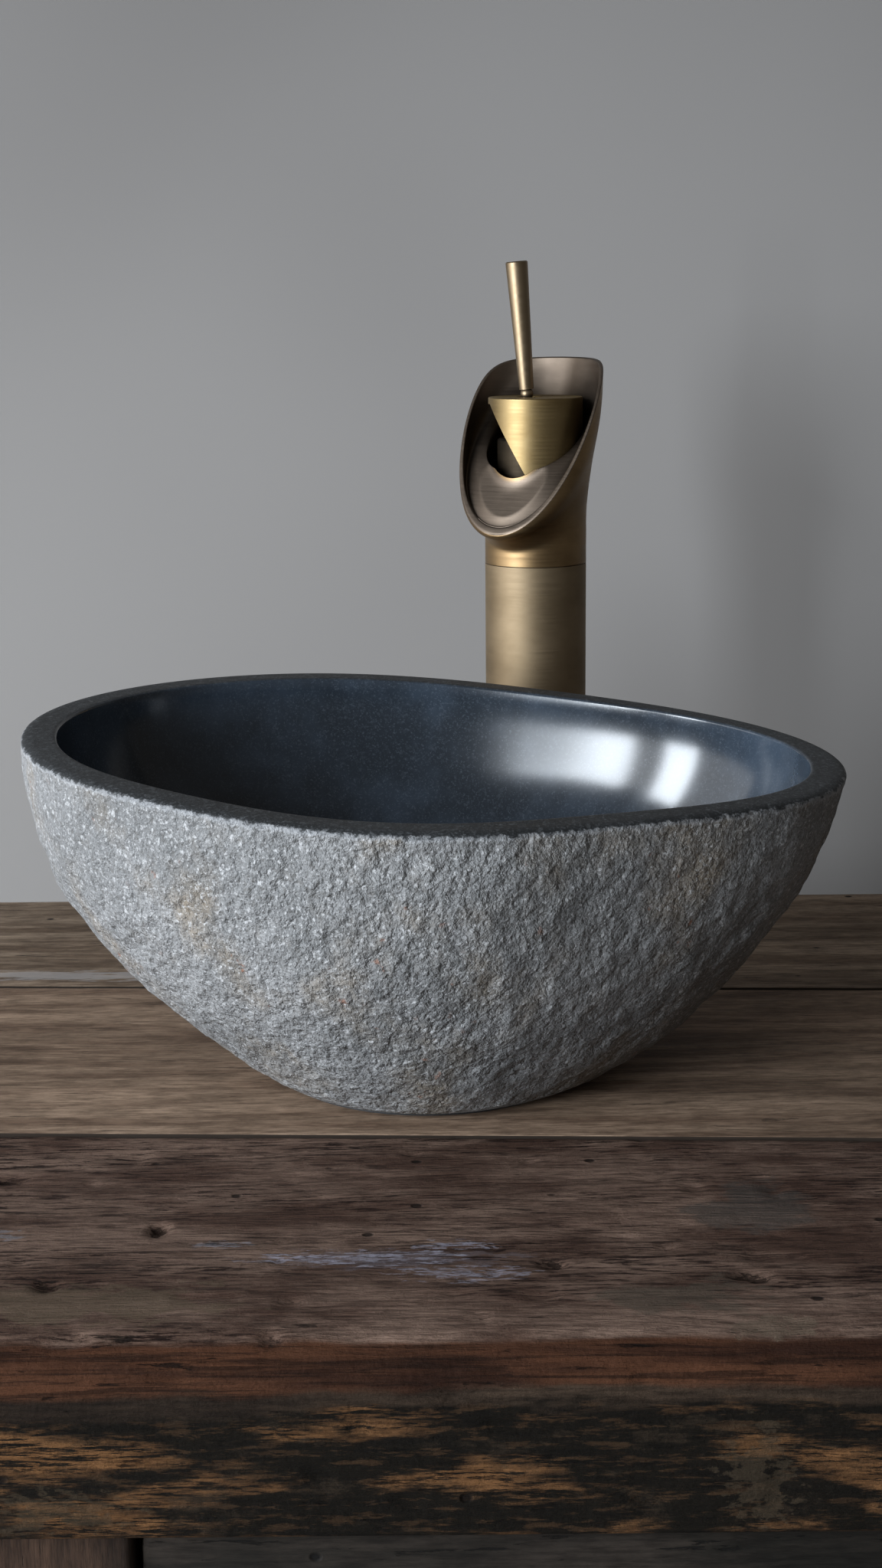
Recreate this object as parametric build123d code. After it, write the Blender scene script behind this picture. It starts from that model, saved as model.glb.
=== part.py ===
from build123d import *

import math
import os

# Vessel sink on a reclaimed-wood vanity, with a tall waterfall mixer tap.
# Millimetres. Z is up and the floor is Z = 0. The front faces -Y and X runs to the user's right.
# The origin is on the floor, at the middle of the whole object's footprint.

# ---------------------------------------------------------------- worktop planks
TOP_LENGTH = 710.0
TOP_DEPTH = 540.0
TOP_HEIGHT = 740.0
TOP_OVERHANG = 54.0
BEAM_DEPTH = 175.0
BEAM_THICKNESS = 68.0
BEAM_ARRIS = 13.0
MIDDLE_DEPTH = 195.0
PLANK_THICKNESS = 40.0
PLANK_EDGE = 1.5
SEAM_GAP = 1.2
SEAM_TAPER = 0.04

# ---------------------------------------------------------------- frame
POST_WIDTH = 90.0
POST_DEPTH = 80.0
POST_EDGE = 3.0
POST_INSET = 8.0
OPENING_HEIGHT = 147.0
GLIDE_RADIUS = 15.0
GLIDE_HEIGHT = 5.0
GLIDE_EDGE = 1.0
GLIDE_PIN_RADIUS = 3.0
GLIDE_PIN_LENGTH = 18.0
BOARD_THICKNESS = 25.0
SIDE_SETBACK = 5.0
SIDE_HEIGHT = 230.0
BACK_RAIL_HEIGHT = 70.0
DRAWER_RAIL_HEIGHT = 50.0
DRAWER_RAIL_DEPTH = 40.0
DRAWER_RAIL_EDGE = 2.0
RUNNER_RAIL_Y = 60.0
RUNNER_RAIL_HEIGHT = 45.0
STRETCHER_HEIGHT = 50.0
SHELF_TOP = 182.0
SHELF_THICKNESS = 22.0
SHELF_BOARDS = 4
SHELF_GAP = 5.0
WALL_HOLE_RADIUS = 4.0
WALL_HOLE_SPACING = 300.0
SCREW_RADIUS = 2.25
SCREW_LENGTH = 45.0
SCREW_POINT = 4.0
SCREW_SINK = 0.2
SCREW_LIP = 0.3

# ---------------------------------------------------------------- drawer
REVEAL = 2.5
FRONT_THICKNESS = 20.0
FRONT_SETBACK = 4.0
FRONT_CORNER = 8.0
FRONT_EDGE = 2.5
TRAP_ROOM = 19.0
DRAWER_WALL = 12.0
DRAWER_SIDE_HEIGHT = 110.0
SIDE_CLEARANCE = 1.0
GUIDE_WIDTH = 6.0
GUIDE_HEIGHT = 20.0
RUNNER_WIDTH = 30.0
RUNNER_HEIGHT = 24.0
RUNNER_LIFT = 8.0
RUNNING_GAP = 0.3
BOTTOM_THICKNESS = 5.0
BOTTOM_RAISE = 8.0
GROOVE_DEPTH = 5.0
GROOVE_CLEARANCE = 0.15
STOP_LENGTH = 30.0
STOP_HEIGHT = 16.0
KICKER_HEIGHT = 26.0
KICKER_LENGTH = 110.0
KNOB_RADIUS = 14.0
KNOB_LENGTH = 26.0
KNOB_SCREW_RADIUS = 2.0
KNOB_SCREW_CLEARANCE = 0.1

# ---------------------------------------------------------------- stone basin
BASIN_X = -113.0
BASIN_Y = -4.0
RIM_SHIFT_X = -7.3
RIM_SHIFT_Y = 3.9
RIM_HALF_LENGTH = 168.5
RIM_HALF_DEPTH = 133.4
RIM_SQUARENESS = 2.15
RIM_HEIGHT = 138.5
RIM_RISE_X = -0.046
RIM_RISE_Y = 0.046
RIM_DROOP = 0.00008
RIM_WIDTH = 15.2
RIM_SWELL = ((1, 0.032, 0.044), (2, 0.0, -0.019), (3, 0.030, 0.024), (4, 0.030, 0.0))  # waves, cosine, sine
BASE_RADIUS = 67.5
BASE_LOBE = 0.25
OUTSIDE_POWER = 1.845
OUTSIDE_POWER_LEAN = -0.385
OUTSIDE_ROOT = 1.249
OUTSIDE_ROOT_LEAN = 0.191
STONE_UNDER_BOWL = 24.0
BOWL_FLOOR_RADIUS = 34.0
BOWL_POWER = 1.9
BOWL_ROOT = 1.75
DRAIN_RADIUS = 22.5
SEAL_THICKNESS = 1.5
SEAL_WIDTH = 18.0
SEAL_INSET = 4.0

# ---------------------------------------------------------------- waste and trap
FLANGE_RADIUS = 31.5
FLANGE_THICKNESS = 3.0
FLANGE_SEAL_THICKNESS = 1.5
FLANGE_SEAL_INSET = 1.5
FLANGE_BEVEL = 1.0
TAIL_RADIUS = 20.9
TAIL_BORE = 17.0
TAIL_BELOW_PLANK = 50.0
PLANK_HOLE_RADIUS = 24.0
PLUG_RADIUS = 30.0
PLUG_DOME = 5.5
PLUG_RIM = 1.5
PLUG_STEM_RADIUS = 4.0
PLUG_STEM_LENGTH = 52.0
PLUG_COLLAR_RADIUS = 6.0
PLUG_COLLAR_HEIGHT = 3.0
WEB_DEPTH = 32.0
WEB_HEIGHT = 6.0
WEB_THICKNESS = 3.0
FIT = 0.05
NUT_CLEARANCE = 0.1
BACKNUT_FLATS = 58.0
BACKNUT_HEIGHT = 10.0
WASHER_RADIUS = 30.0
WASHER_THICKNESS = 3.0
PIPE_RADIUS = 16.0
PIPE_WALL = 1.5
PIPE_COLLAR = 3.0
UNION_RADIUS = 26.0
UNION_HEIGHT = 24.0
UNION_SHOULDER = 4.0
NUT_BEVEL = 2.0
HEAD_RADIUS = 30.0
HEAD_HEIGHT = 42.0
HEAD_DROP = 34.0
HEAD_WALL = 3.0
HEAD_BEVEL = 3.0
CUP_HEIGHT = 62.0
CUP_WALL = 2.5
CUP_BEVEL = 6.0
SKIRT_LENGTH = 12.0
DIP_DEPTH = 40.0
GLAND_RADIUS = 22.0
GLAND_LENGTH = 14.0
SOCKET_RADIUS = 19.5
SOCKET_LENGTH = 22.0
OUTLET_PAST_WALL = 14.0
OUTLET_BEAD_RADIUS = 17.5
OUTLET_BEAD_WIDTH = 2.0
ROSETTE_RADIUS = 35.0
ROSETTE_THICKNESS = 8.0

# ---------------------------------------------------------------- mixer tap
TAP_X = -58.0
TAP_FROM_BACK = 64.0
TUBE_RADIUS = 25.5
TUBE_WALL = 2.5
SEAM_HEIGHT = 1.0
BASE_RING_RADIUS = 29.0
BASE_RING_HEIGHT = 6.0
BASE_RING_EDGE = 1.0
GASKET_THICKNESS = 1.0
FOOT_HEIGHT = 15.0
SPIGOT_LENGTH = 12.0
SEAT_HEIGHT = 212.0  # where the cartridge and the hub sit, above the worktop
NECK_HEIGHT = 19.5
HEAD_BORE = 24.0
SPOUT_TURN = 32.0
SPOUT_SHIFT = -1.7
SPOUT_TOP = 82.5  # this and the head's other heights are measured from the seat
SPOUT_LIP = -1.0
SPOUT_REACH = 35.5
SPOUT_OVAL = 0.041
SPOUT_WALL = 1.8
CHUTE_TOP = 27.5
CUT_START = -12.3
CUT_SLOPE = 1.7
CUT_SOFTNESS = 6.3
HUB_RADIUS = 23.6
HUB_WALL = 1.6
HUB_TOP = 63.2
HUB_PLATE = 3.2
HUB_EDGE = 0.4
HUB_SLOT_LOW = -18.8
HUB_SLOT_HIGH = 63.6
HUB_SLOT_TURN = 100.0
LEVER_SHIFT = -3.0
CARTRIDGE_RADIUS = 12.5
CARTRIDGE_HEIGHT = 40.0
BOSS_WALL = 2.0
BOSS_DROP = 18.0
CARTRIDGE_NUT_WALL = 1.5
CARTRIDGE_NUT_HOLE = 9.0
CARTRIDGE_NUT_CAP = 3.0
CARTRIDGE_NUT_LAP = 8.0
CARTRIDGE_NUT_BEVEL = 1.0
SPINDLE_RADIUS = 6.5
SPINDLE_HEIGHT = 7.4
EAR_THICKNESS = 2.3
EYE_WIDTH = 5.0
EYE_RADIUS = 3.6
EYE_GAP = 0.2
EYE_ROOM = 0.6
PIVOT_HEIGHT = 48.0
PIVOT_PIN_RADIUS = 1.25
STEM_RADIUS = 2.2
BALL_RADIUS = 3.2
ROD_START = 19.0
ROD_END = 81.3
ROD_FOOT_RADIUS = 3.6
ROD_TIP_RADIUS = 5.5
ROD_TIP_EDGE = 0.6
ROD_SOCKET = 8.0
ROD_LEAN = 4.5
HUB_HOLE_RADIUS = 6.5
BOOT_RADIUS = 12.9
BOOT_THICKNESS = 1.0
BOOT_SPREAD = 42.0
STUD_RADIUS = 4.0
STUD_OFFSET = 8.0
STUD_BELOW_PLANK = 25.0
TAP_HOLE_RADIUS = 17.0
CLAMP_RADIUS = 24.0
CLAMP_THICKNESS = 3.0
CLAMP_CLEARANCE = 1.0
STUD_NUT_FLATS = 13.0
STUD_NUT_HEIGHT = 8.0
INLET_RADIUS = 5.0
INLET_SPACING = 14.0
INLET_OFFSET = 4.0
INLET_BELOW_PLANK = 60.0
INLET_BORE = 3.5
INLET_BEAD_RADIUS = 6.5
INLET_BEAD_HEIGHT = 2.0
INLET_BEAD_DROP = 14.0
SUPPLY_TUBE_RADIUS = 3.2
SUPPLY_TUBE_WALL = 0.8
SUPPLY_SPACING = 9.0
SOCKET_DEPTH = 7.0

# ---------------------------------------------------------------- construction
OVERCUT = 1.0  # how far a cutting solid runs past the face it opens

# ---------------------------------------------------------------- places worked out from the sizes
FRONT = -TOP_DEPTH / 2
BACK = TOP_DEPTH / 2
FRONT_SEAM = FRONT + BEAM_DEPTH
REAR_SEAM = FRONT_SEAM + MIDDLE_DEPTH
BEAM_UNDER = TOP_HEIGHT - BEAM_THICKNESS
PLANK_UNDER = TOP_HEIGHT - PLANK_THICKNESS
POST_OUT = TOP_LENGTH / 2 - TOP_OVERHANG
POST_IN = POST_OUT - POST_WIDTH
POST_FRONT = FRONT + POST_INSET
POST_BACK = BACK - POST_INSET
SIDE_OUT = POST_OUT - SIDE_SETBACK
SIDE_IN = SIDE_OUT - BOARD_THICKNESS
RAIL_BACK = POST_FRONT + DRAWER_RAIL_DEPTH
DRAWER_RAIL_TOP = BEAM_UNDER - OPENING_HEIGHT
RUNNER_TOP = DRAWER_RAIL_TOP + RUNNER_LIFT
GUIDE_IN = POST_IN - GUIDE_WIDTH
BOX_HALF = GUIDE_IN - SIDE_CLEARANCE
BOX_IN = BOX_HALF - DRAWER_WALL
BOX_BOTTOM = RUNNER_TOP + RUNNING_GAP
BOX_TOP = BOX_BOTTOM + DRAWER_SIDE_HEIGHT
FRONT_FACE = POST_FRONT + FRONT_SETBACK
FRONT_REAR = FRONT_FACE + FRONT_THICKNESS
BOX_BACK = BASIN_Y - HEAD_RADIUS - TRAP_ROOM
PANEL_BOTTOM = BOX_BOTTOM + BOTTOM_RAISE
PANEL_TOP = PANEL_BOTTOM + BOTTOM_THICKNESS
FRONT_LOW = DRAWER_RAIL_TOP + REVEAL
FRONT_HIGH = BEAM_UNDER - REVEAL
KNOB_Z = (FRONT_LOW + FRONT_HIGH) / 2
BASIN_Z = TOP_HEIGHT + SEAL_THICKNESS
BOWL_Z = BASIN_Z + STONE_UNDER_BOWL
FLANGE_Z = BOWL_Z + FLANGE_SEAL_THICKNESS
FLANGE_TOP = FLANGE_Z + FLANGE_THICKNESS
PLUG_Z = FLANGE_TOP + RUNNING_GAP
TAIL_END = PLANK_UNDER - TAIL_BELOW_PLANK
WEB_TOP = FLANGE_Z - WEB_DEPTH
TRAP_TOP = TAIL_END - HEAD_DROP
TRAP_LOW = TRAP_TOP - HEAD_HEIGHT
OUTLET_Z = TRAP_LOW + HEAD_HEIGHT / 2
SOCKET_END = BASIN_Y + HEAD_RADIUS + SOCKET_LENGTH
OUTLET_END = BACK + OUTLET_PAST_WALL
TAP_Y = BACK - TAP_FROM_BACK
LEVER_X = TAP_X + LEVER_SHIFT
SEAT_Z = TOP_HEIGHT + SEAT_HEIGHT
CARTRIDGE_TOP = SEAT_Z + CARTRIDGE_HEIGHT
BOSS_TOP = CARTRIDGE_TOP - BOSS_DROP
TUBE_TOP = SEAT_HEIGHT - NECK_HEIGHT
HEAD_LOW = SEAM_HEIGHT - NECK_HEIGHT
PIVOT_Z = SEAT_Z + PIVOT_HEIGHT
TAP_FOOT_Z = TOP_HEIGHT + GASKET_THICKNESS


# ---------------------------------------------------------------- small helpers
def block(x0, x1, y0, y1, z0, z1):
    """A box between two corners."""
    low = (min(x0, x1), min(y0, y1), min(z0, z1))
    return Pos(*low) * Box(abs(x1 - x0), abs(y1 - y0), abs(z1 - z0), align=(Align.MIN,) * 3)


def disc(x, y, z0, z1, radius):
    """An upright cylinder between two heights."""
    return Pos(x, y, z0) * Cylinder(radius, z1 - z0, align=(Align.CENTER, Align.CENTER, Align.MIN))


def ring(x, y, z0, z1, inner, outer):
    """An upright tube between two heights."""
    return disc(x, y, z0, z1, outer) - disc(x, y, z0 - OVERCUT, z1 + OVERCUT, inner)


def bar_y(x, z, y0, y1, radius):
    """A cylinder along Y."""
    return Pos(x, y0, z) * Rot(-90, 0, 0) * disc(0, 0, 0, y1 - y0, radius)


def turned(x, y, points):
    """A solid of revolution about an upright axis, from (radius, height) corners."""
    return Pos(x, y, 0) * revolve(make_face(Polyline(*[(r, 0, z) for r, z in points], close=True)), Axis.Z)


def hexagon(x, y, z0, z1, flats, bore):
    """A hexagon nut between two heights."""
    nut = extrude(RegularPolygon(flats / 2, 6, major_radius=False), z1 - z0)
    return Pos(x, y, z0) * nut - disc(x, y, z0 - OVERCUT, z1 + OVERCUT, bore)


def between(start, end, share):
    """A value at a share of the way between two others."""
    return start + (end - start) * share


def closed_wire(points):
    """One smooth closed curve through points that lie in a plane."""
    return Wire([Edge.make_spline([Vector(*p) for p in points], periodic=True)])


def skinned(sections):
    """A smooth solid through closed sections; one that comes out inside out is made the other way round."""
    solid = Solid.make_loft([closed_wire(points) for points in sections])
    if solid.volume < 0:
        solid = Solid.make_loft([closed_wire(points[::-1]) for points in sections])
    return solid


def eased(solid, axis, edge):
    """A bar of timber with the long edges along one axis rounded."""
    return fillet(solid.edges().filter_by(axis), edge)


# ---------------------------------------------------------------- worktop
def plank(front, back, front_tapered, back_tapered, thickness):
    """A plank of the worktop; a seam side runs at the seams' slight angle to the front edge."""
    half = TOP_LENGTH / 2
    front_skew = half * SEAM_TAPER if front_tapered else 0.0
    back_skew = half * SEAM_TAPER if back_tapered else 0.0
    corners = [
        (-half, front + front_skew),
        (half, front - front_skew),
        (half, back - back_skew),
        (-half, back + back_skew),
    ]
    outline = Pos(0, 0, TOP_HEIGHT - thickness) * make_face(Polyline(*corners, close=True))
    return extrude(outline, thickness)


def worktop():
    gap = SEAM_GAP / 2
    beam = plank(FRONT, FRONT_SEAM - gap, False, True, BEAM_THICKNESS)
    arris = beam.edges().filter_by(Axis.X).sort_by(Axis.Z)[-1]
    beam = fillet(arris, BEAM_ARRIS)
    beam = chamfer(beam.edges().group_by(Axis.Z)[0], PLANK_EDGE)
    middle = plank(FRONT_SEAM + gap, REAR_SEAM - gap, True, True, PLANK_THICKNESS)
    middle = chamfer(middle.edges().group_by(Axis.Z)[-1], PLANK_EDGE)
    middle -= disc(BASIN_X, BASIN_Y, PLANK_UNDER - OVERCUT, TOP_HEIGHT + OVERCUT, PLANK_HOLE_RADIUS)
    rear = plank(REAR_SEAM + gap, BACK, True, False, PLANK_THICKNESS)
    rear = chamfer(rear.edges().group_by(Axis.Z)[-1], PLANK_EDGE)
    rear -= disc(TAP_X, TAP_Y, PLANK_UNDER - OVERCUT, TOP_HEIGHT + OVERCUT, TAP_HOLE_RADIUS)
    return {"front_beam": beam, "middle_plank": middle, "rear_plank": rear}


# ---------------------------------------------------------------- frame
def post(side, front):
    """One upright of the frame. Its foot has the hole of the glide's pin."""
    y0 = POST_FRONT if front else POST_BACK - POST_DEPTH
    top = BEAM_UNDER if front else PLANK_UNDER
    timber = block(side * POST_IN, side * POST_OUT, y0, y0 + POST_DEPTH, GLIDE_HEIGHT, top)
    pin_top = GLIDE_HEIGHT + GLIDE_PIN_LENGTH + FIT
    middle = side * (POST_IN + POST_OUT) / 2
    pin_hole = disc(middle, y0 + POST_DEPTH / 2, GLIDE_HEIGHT - OVERCUT, pin_top, GLIDE_PIN_RADIUS + FIT)
    return eased(timber, Axis.Z, POST_EDGE) - pin_hole


def glides():
    """Four round glides under the posts, each with a pin up into the wood."""
    feet = []
    for side in (-1, 1):
        for y in (POST_FRONT + POST_DEPTH / 2, POST_BACK - POST_DEPTH / 2):
            x = side * (POST_IN + POST_OUT) / 2
            pad = disc(x, y, 0, GLIDE_HEIGHT, GLIDE_RADIUS)
            pad = chamfer(pad.edges().group_by(Axis.Z)[0], GLIDE_EDGE)
            feet.append(pad + disc(x, y, GLIDE_HEIGHT, GLIDE_HEIGHT + GLIDE_PIN_LENGTH, GLIDE_PIN_RADIUS))
    return Compound(children=feet)


def side_rail(side):
    """The deep rail between a front and a rear post; its top is notched under the thick front beam."""
    y0, y1 = POST_FRONT + POST_DEPTH, POST_BACK - POST_DEPTH
    rail = block(side * SIDE_IN, side * SIDE_OUT, y0, y1, PLANK_UNDER - SIDE_HEIGHT, PLANK_UNDER)
    notch_end = FRONT_SEAM + SEAM_TAPER * TOP_LENGTH / 2 + SEAM_GAP
    x_in, x_out = side * (SIDE_IN - OVERCUT), side * (SIDE_OUT + OVERCUT)
    return rail - block(x_in, x_out, y0 - OVERCUT, notch_end, BEAM_UNDER, PLANK_UNDER + OVERCUT)


def stretcher_side(side):
    """A low rail between a front and a rear post, which carries the shelf boards."""
    top = SHELF_TOP - SHELF_THICKNESS
    y0, y1 = POST_FRONT + POST_DEPTH, POST_BACK - POST_DEPTH
    return block(side * SIDE_IN, side * SIDE_OUT, y0, y1, top - STRETCHER_HEIGHT, top)


def shelf_parts():
    """The slats of the low shelf, each held down by a screw at both ends."""
    y0 = POST_FRONT + POST_DEPTH + SHELF_GAP / 2
    room = POST_BACK - POST_DEPTH - SHELF_GAP / 2 - y0
    width = (room - SHELF_GAP * (SHELF_BOARDS - 1)) / SHELF_BOARDS
    under = SHELF_TOP - SHELF_THICKNESS
    screw_x = (SIDE_IN + SIDE_OUT) / 2
    parts = {f"{name}_stretcher": stretcher_side(side) for side, name in ((-1, "left"), (1, "right"))}
    slats, screws = [], []
    for index in range(SHELF_BOARDS):
        start = y0 + index * (width + SHELF_GAP)
        slat = block(-SIDE_OUT, SIDE_OUT, start, start + width, under, SHELF_TOP)
        slat = chamfer(slat.edges().group_by(Axis.Z)[-1], PLANK_EDGE)
        for side, name in ((-1, "left"), (1, "right")):
            place = (side * screw_x, start + width / 2)
            slat -= screw_cut(*place, SHELF_TOP, under - OVERCUT)
            screw_hole = disc(*place, SHELF_TOP - SCREW_LENGTH, under + OVERCUT, SCREW_RADIUS)
            parts[f"{name}_stretcher"] -= screw_hole
            screws.append(screw(*place, SHELF_TOP))
        slats.append(slat)
    parts["shelf_boards"] = Compound(children=slats)
    parts["shelf_screws"] = Compound(children=screws)
    return parts


def screw(x, y, top):
    """A countersunk wood screw that stands upright in its hole."""
    head_radius = SCREW_RADIUS * 2
    low = top - SCREW_LENGTH
    face = top - SCREW_SINK
    return turned(x, y, [
        (0, low),
        (SCREW_RADIUS, low + SCREW_POINT),
        (SCREW_RADIUS, top - head_radius),
        (head_radius, face - SCREW_LIP),
        (head_radius, face),
        (0, face),
    ])


def screw_cut(x, y, top, low):
    """The countersunk hole that the screw's head sits in."""
    head_radius = SCREW_RADIUS * 2
    return turned(x, y, [
        (0, low),
        (SCREW_RADIUS, low),
        (SCREW_RADIUS, top - head_radius),
        (head_radius, top - SCREW_SINK - SCREW_LIP),
        (head_radius, top + OVERCUT),
        (0, top + OVERCUT),
    ])


def frame_parts():
    parts = {"floor_glides": glides()}
    for side, side_name in ((-1, "left"), (1, "right")):
        for front, row in ((True, "front"), (False, "rear")):
            parts[f"{row}_{side_name}_post"] = post(side, front)
        parts[f"{side_name}_side_rail"] = side_rail(side)
    front = POST_BACK - BOARD_THICKNESS
    low = PLANK_UNDER - BACK_RAIL_HEIGHT
    back = block(-POST_IN, POST_IN, front, POST_BACK, low, PLANK_UNDER)
    for side in (-1, 1):
        x = side * WALL_HOLE_SPACING / 2
        z = low + BACK_RAIL_HEIGHT / 2
        back -= bar_y(x, z, front - OVERCUT, POST_BACK + OVERCUT, WALL_HOLE_RADIUS)
    parts["back_rail"] = back
    low = DRAWER_RAIL_TOP - DRAWER_RAIL_HEIGHT
    rail = block(-POST_IN, POST_IN, POST_FRONT, RAIL_BACK, low, DRAWER_RAIL_TOP)
    parts["drawer_rail"] = eased(rail, Axis.X, DRAWER_RAIL_EDGE)
    top = RUNNER_TOP + STOP_HEIGHT / 2
    rail_end = RUNNER_RAIL_Y + BOARD_THICKNESS
    parts["runner_rail"] = block(-SIDE_IN, SIDE_IN, RUNNER_RAIL_Y, rail_end, top - RUNNER_RAIL_HEIGHT, top)
    for side, name in ((-1, "left_runner"), (1, "right_runner")):
        parts[name] = runner(side)
    parts["drawer_kickers"] = kickers()
    return parts


# ---------------------------------------------------------------- drawer
def runner(side):
    """The ledge that the drawer slides on, with a guide lip beside the drawer and a stop behind it."""
    x_in = side * (POST_IN - RUNNER_WIDTH)
    ledge = block(x_in, side * POST_IN, RAIL_BACK, RUNNER_RAIL_Y, RUNNER_TOP - RUNNER_HEIGHT, RUNNER_TOP)
    lip_top = RUNNER_TOP + GUIDE_HEIGHT
    lip = block(side * GUIDE_IN, side * POST_IN, RAIL_BACK, RUNNER_RAIL_Y, RUNNER_TOP, lip_top)
    stop_y = BOX_BACK + RUNNING_GAP
    stop = block(x_in, side * GUIDE_IN, stop_y, stop_y + STOP_LENGTH, RUNNER_TOP, RUNNER_TOP + STOP_HEIGHT)
    return ledge + lip + stop


def kickers():
    """Two strips under the front beam that keep the open drawer from tipping."""
    low = BEAM_UNDER - KICKER_HEIGHT
    strips = []
    for side in (-1, 1):
        x_in, x_out = side * BOX_IN, side * BOX_HALF
        strips.append(block(x_in, x_out, RAIL_BACK, RAIL_BACK + KICKER_LENGTH, low, BEAM_UNDER))
    return Compound(children=strips)


def drawer_parts():
    half = POST_IN - REVEAL
    front = block(-half, half, FRONT_FACE, FRONT_REAR, FRONT_LOW, FRONT_HIGH)
    front = fillet(front.edges().filter_by(Axis.Y), FRONT_CORNER)
    front = fillet(front.faces().sort_by(Axis.Y)[0].edges(), FRONT_EDGE)
    slot_low = PANEL_BOTTOM - GROOVE_CLEARANCE
    slot_high = PANEL_TOP + GROOVE_CLEARANCE
    reach = GROOVE_DEPTH + GROOVE_CLEARANCE
    slot_half = BOX_IN + reach
    slot = block(-slot_half, slot_half, FRONT_REAR - reach, BOX_BACK + OVERCUT, slot_low, slot_high)
    hole_radius = KNOB_SCREW_RADIUS + KNOB_SCREW_CLEARANCE
    knob_hole = bar_y(0, KNOB_Z, FRONT_FACE - OVERCUT, FRONT_REAR + OVERCUT, hole_radius)
    parts = {"drawer_front": front - slot - knob_hole}
    for side, name in ((-1, "drawer_left_side"), (1, "drawer_right_side")):
        wall = block(side * BOX_IN, side * BOX_HALF, FRONT_REAR, BOX_BACK, BOX_BOTTOM, BOX_TOP)
        parts[name] = wall - slot
    parts["drawer_back"] = block(-BOX_IN, BOX_IN, BOX_BACK - DRAWER_WALL, BOX_BACK, PANEL_TOP, BOX_TOP)
    panel_half = BOX_IN + GROOVE_DEPTH
    parts["drawer_bottom"] = block(
        -panel_half, panel_half, FRONT_REAR - GROOVE_DEPTH, BOX_BACK, PANEL_BOTTOM, PANEL_TOP
    )
    parts["drawer_knob"] = knob()
    shank = bar_y(0, KNOB_Z, FRONT_FACE - KNOB_LENGTH / 2, FRONT_REAR, KNOB_SCREW_RADIUS)
    head = bar_y(0, KNOB_Z, FRONT_REAR, FRONT_REAR + KNOB_SCREW_RADIUS, KNOB_SCREW_RADIUS * 2)
    parts["knob_screw"] = shank + head
    return parts


def knob():
    """A turned pull: a foot on the drawer front, a waist and a mushroom head."""
    neck = KNOB_RADIUS * 0.45
    outline = [
        (0, 0),
        (KNOB_RADIUS * 0.7, 0),
        (KNOB_RADIUS * 0.7, KNOB_LENGTH * 0.1),
        (neck, KNOB_LENGTH * 0.22),
        (neck, KNOB_LENGTH * 0.5),
        (KNOB_RADIUS, KNOB_LENGTH * 0.7),
        (KNOB_RADIUS, KNOB_LENGTH * 0.85),
        (KNOB_RADIUS * 0.7, KNOB_LENGTH),
        (0, KNOB_LENGTH),
    ]
    pull = Pos(0, FRONT_FACE, KNOB_Z) * Rot(90, 0, 0) * turned(0, 0, outline)
    hole_end = FRONT_FACE - KNOB_LENGTH / 2 - FIT
    hole_radius = KNOB_SCREW_RADIUS + KNOB_SCREW_CLEARANCE
    return pull - bar_y(0, KNOB_Z, hole_end, FRONT_FACE + OVERCUT, hole_radius)


# ---------------------------------------------------------------- stone basin
def stone_radius(angle):
    """The rim's outer radius about its centre: a squarish oval with the unevenness of a boulder."""
    across = abs(math.cos(angle)) / RIM_HALF_LENGTH
    along = abs(math.sin(angle)) / RIM_HALF_DEPTH
    oval = (across ** RIM_SQUARENESS + along ** RIM_SQUARENESS) ** (-1 / RIM_SQUARENESS)
    swell = sum(a * math.cos(n * angle) + b * math.sin(n * angle) for n, a, b in RIM_SWELL)
    return oval * (1 + swell)


def mean_radius():
    steps = 72
    return sum(stone_radius(math.tau * i / steps) for i in range(steps)) / steps


def stone_section(level, spread, radius_of, base_of, shift, floor_z, samples=28):
    """A tilted closed section of the stone, at a share of the way from its floor to the rim's plane."""
    points = []
    centre_x = BASIN_X + RIM_SHIFT_X * shift
    centre_y = BASIN_Y + RIM_SHIFT_Y * shift
    for i in range(samples):
        angle = math.tau * i / samples
        g = spread(level, angle)
        radius = base_of(angle) + (radius_of(angle) - base_of(angle)) * g
        x = centre_x + radius * math.cos(angle)
        y = centre_y + radius * math.sin(angle)
        across = x - BASIN_X - RIM_SHIFT_X
        along = y - BASIN_Y - RIM_SHIFT_Y
        top = BASIN_Z + RIM_HEIGHT + RIM_RISE_X * across + RIM_RISE_Y * along
        points.append((x, y, floor_z + level * (top - floor_z)))
    return points


def outside_spread(level, angle):
    """How far the outside has widened from its foot to the rim at a level."""
    power = OUTSIDE_POWER + OUTSIDE_POWER_LEAN * math.cos(angle)
    root = OUTSIDE_ROOT + OUTSIDE_ROOT_LEAN * math.cos(angle)
    return 1.0 if level >= 1 else (1 - (1 - level) ** power) ** (1 / root)


def inside_spread(level, angle):
    """How far the bowl has widened from its floor to the rim at a level, alike at every angle."""
    return 1.0 if level >= 1 else (1 - (1 - level) ** BOWL_POWER) ** (1 / BOWL_ROOT)


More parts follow.
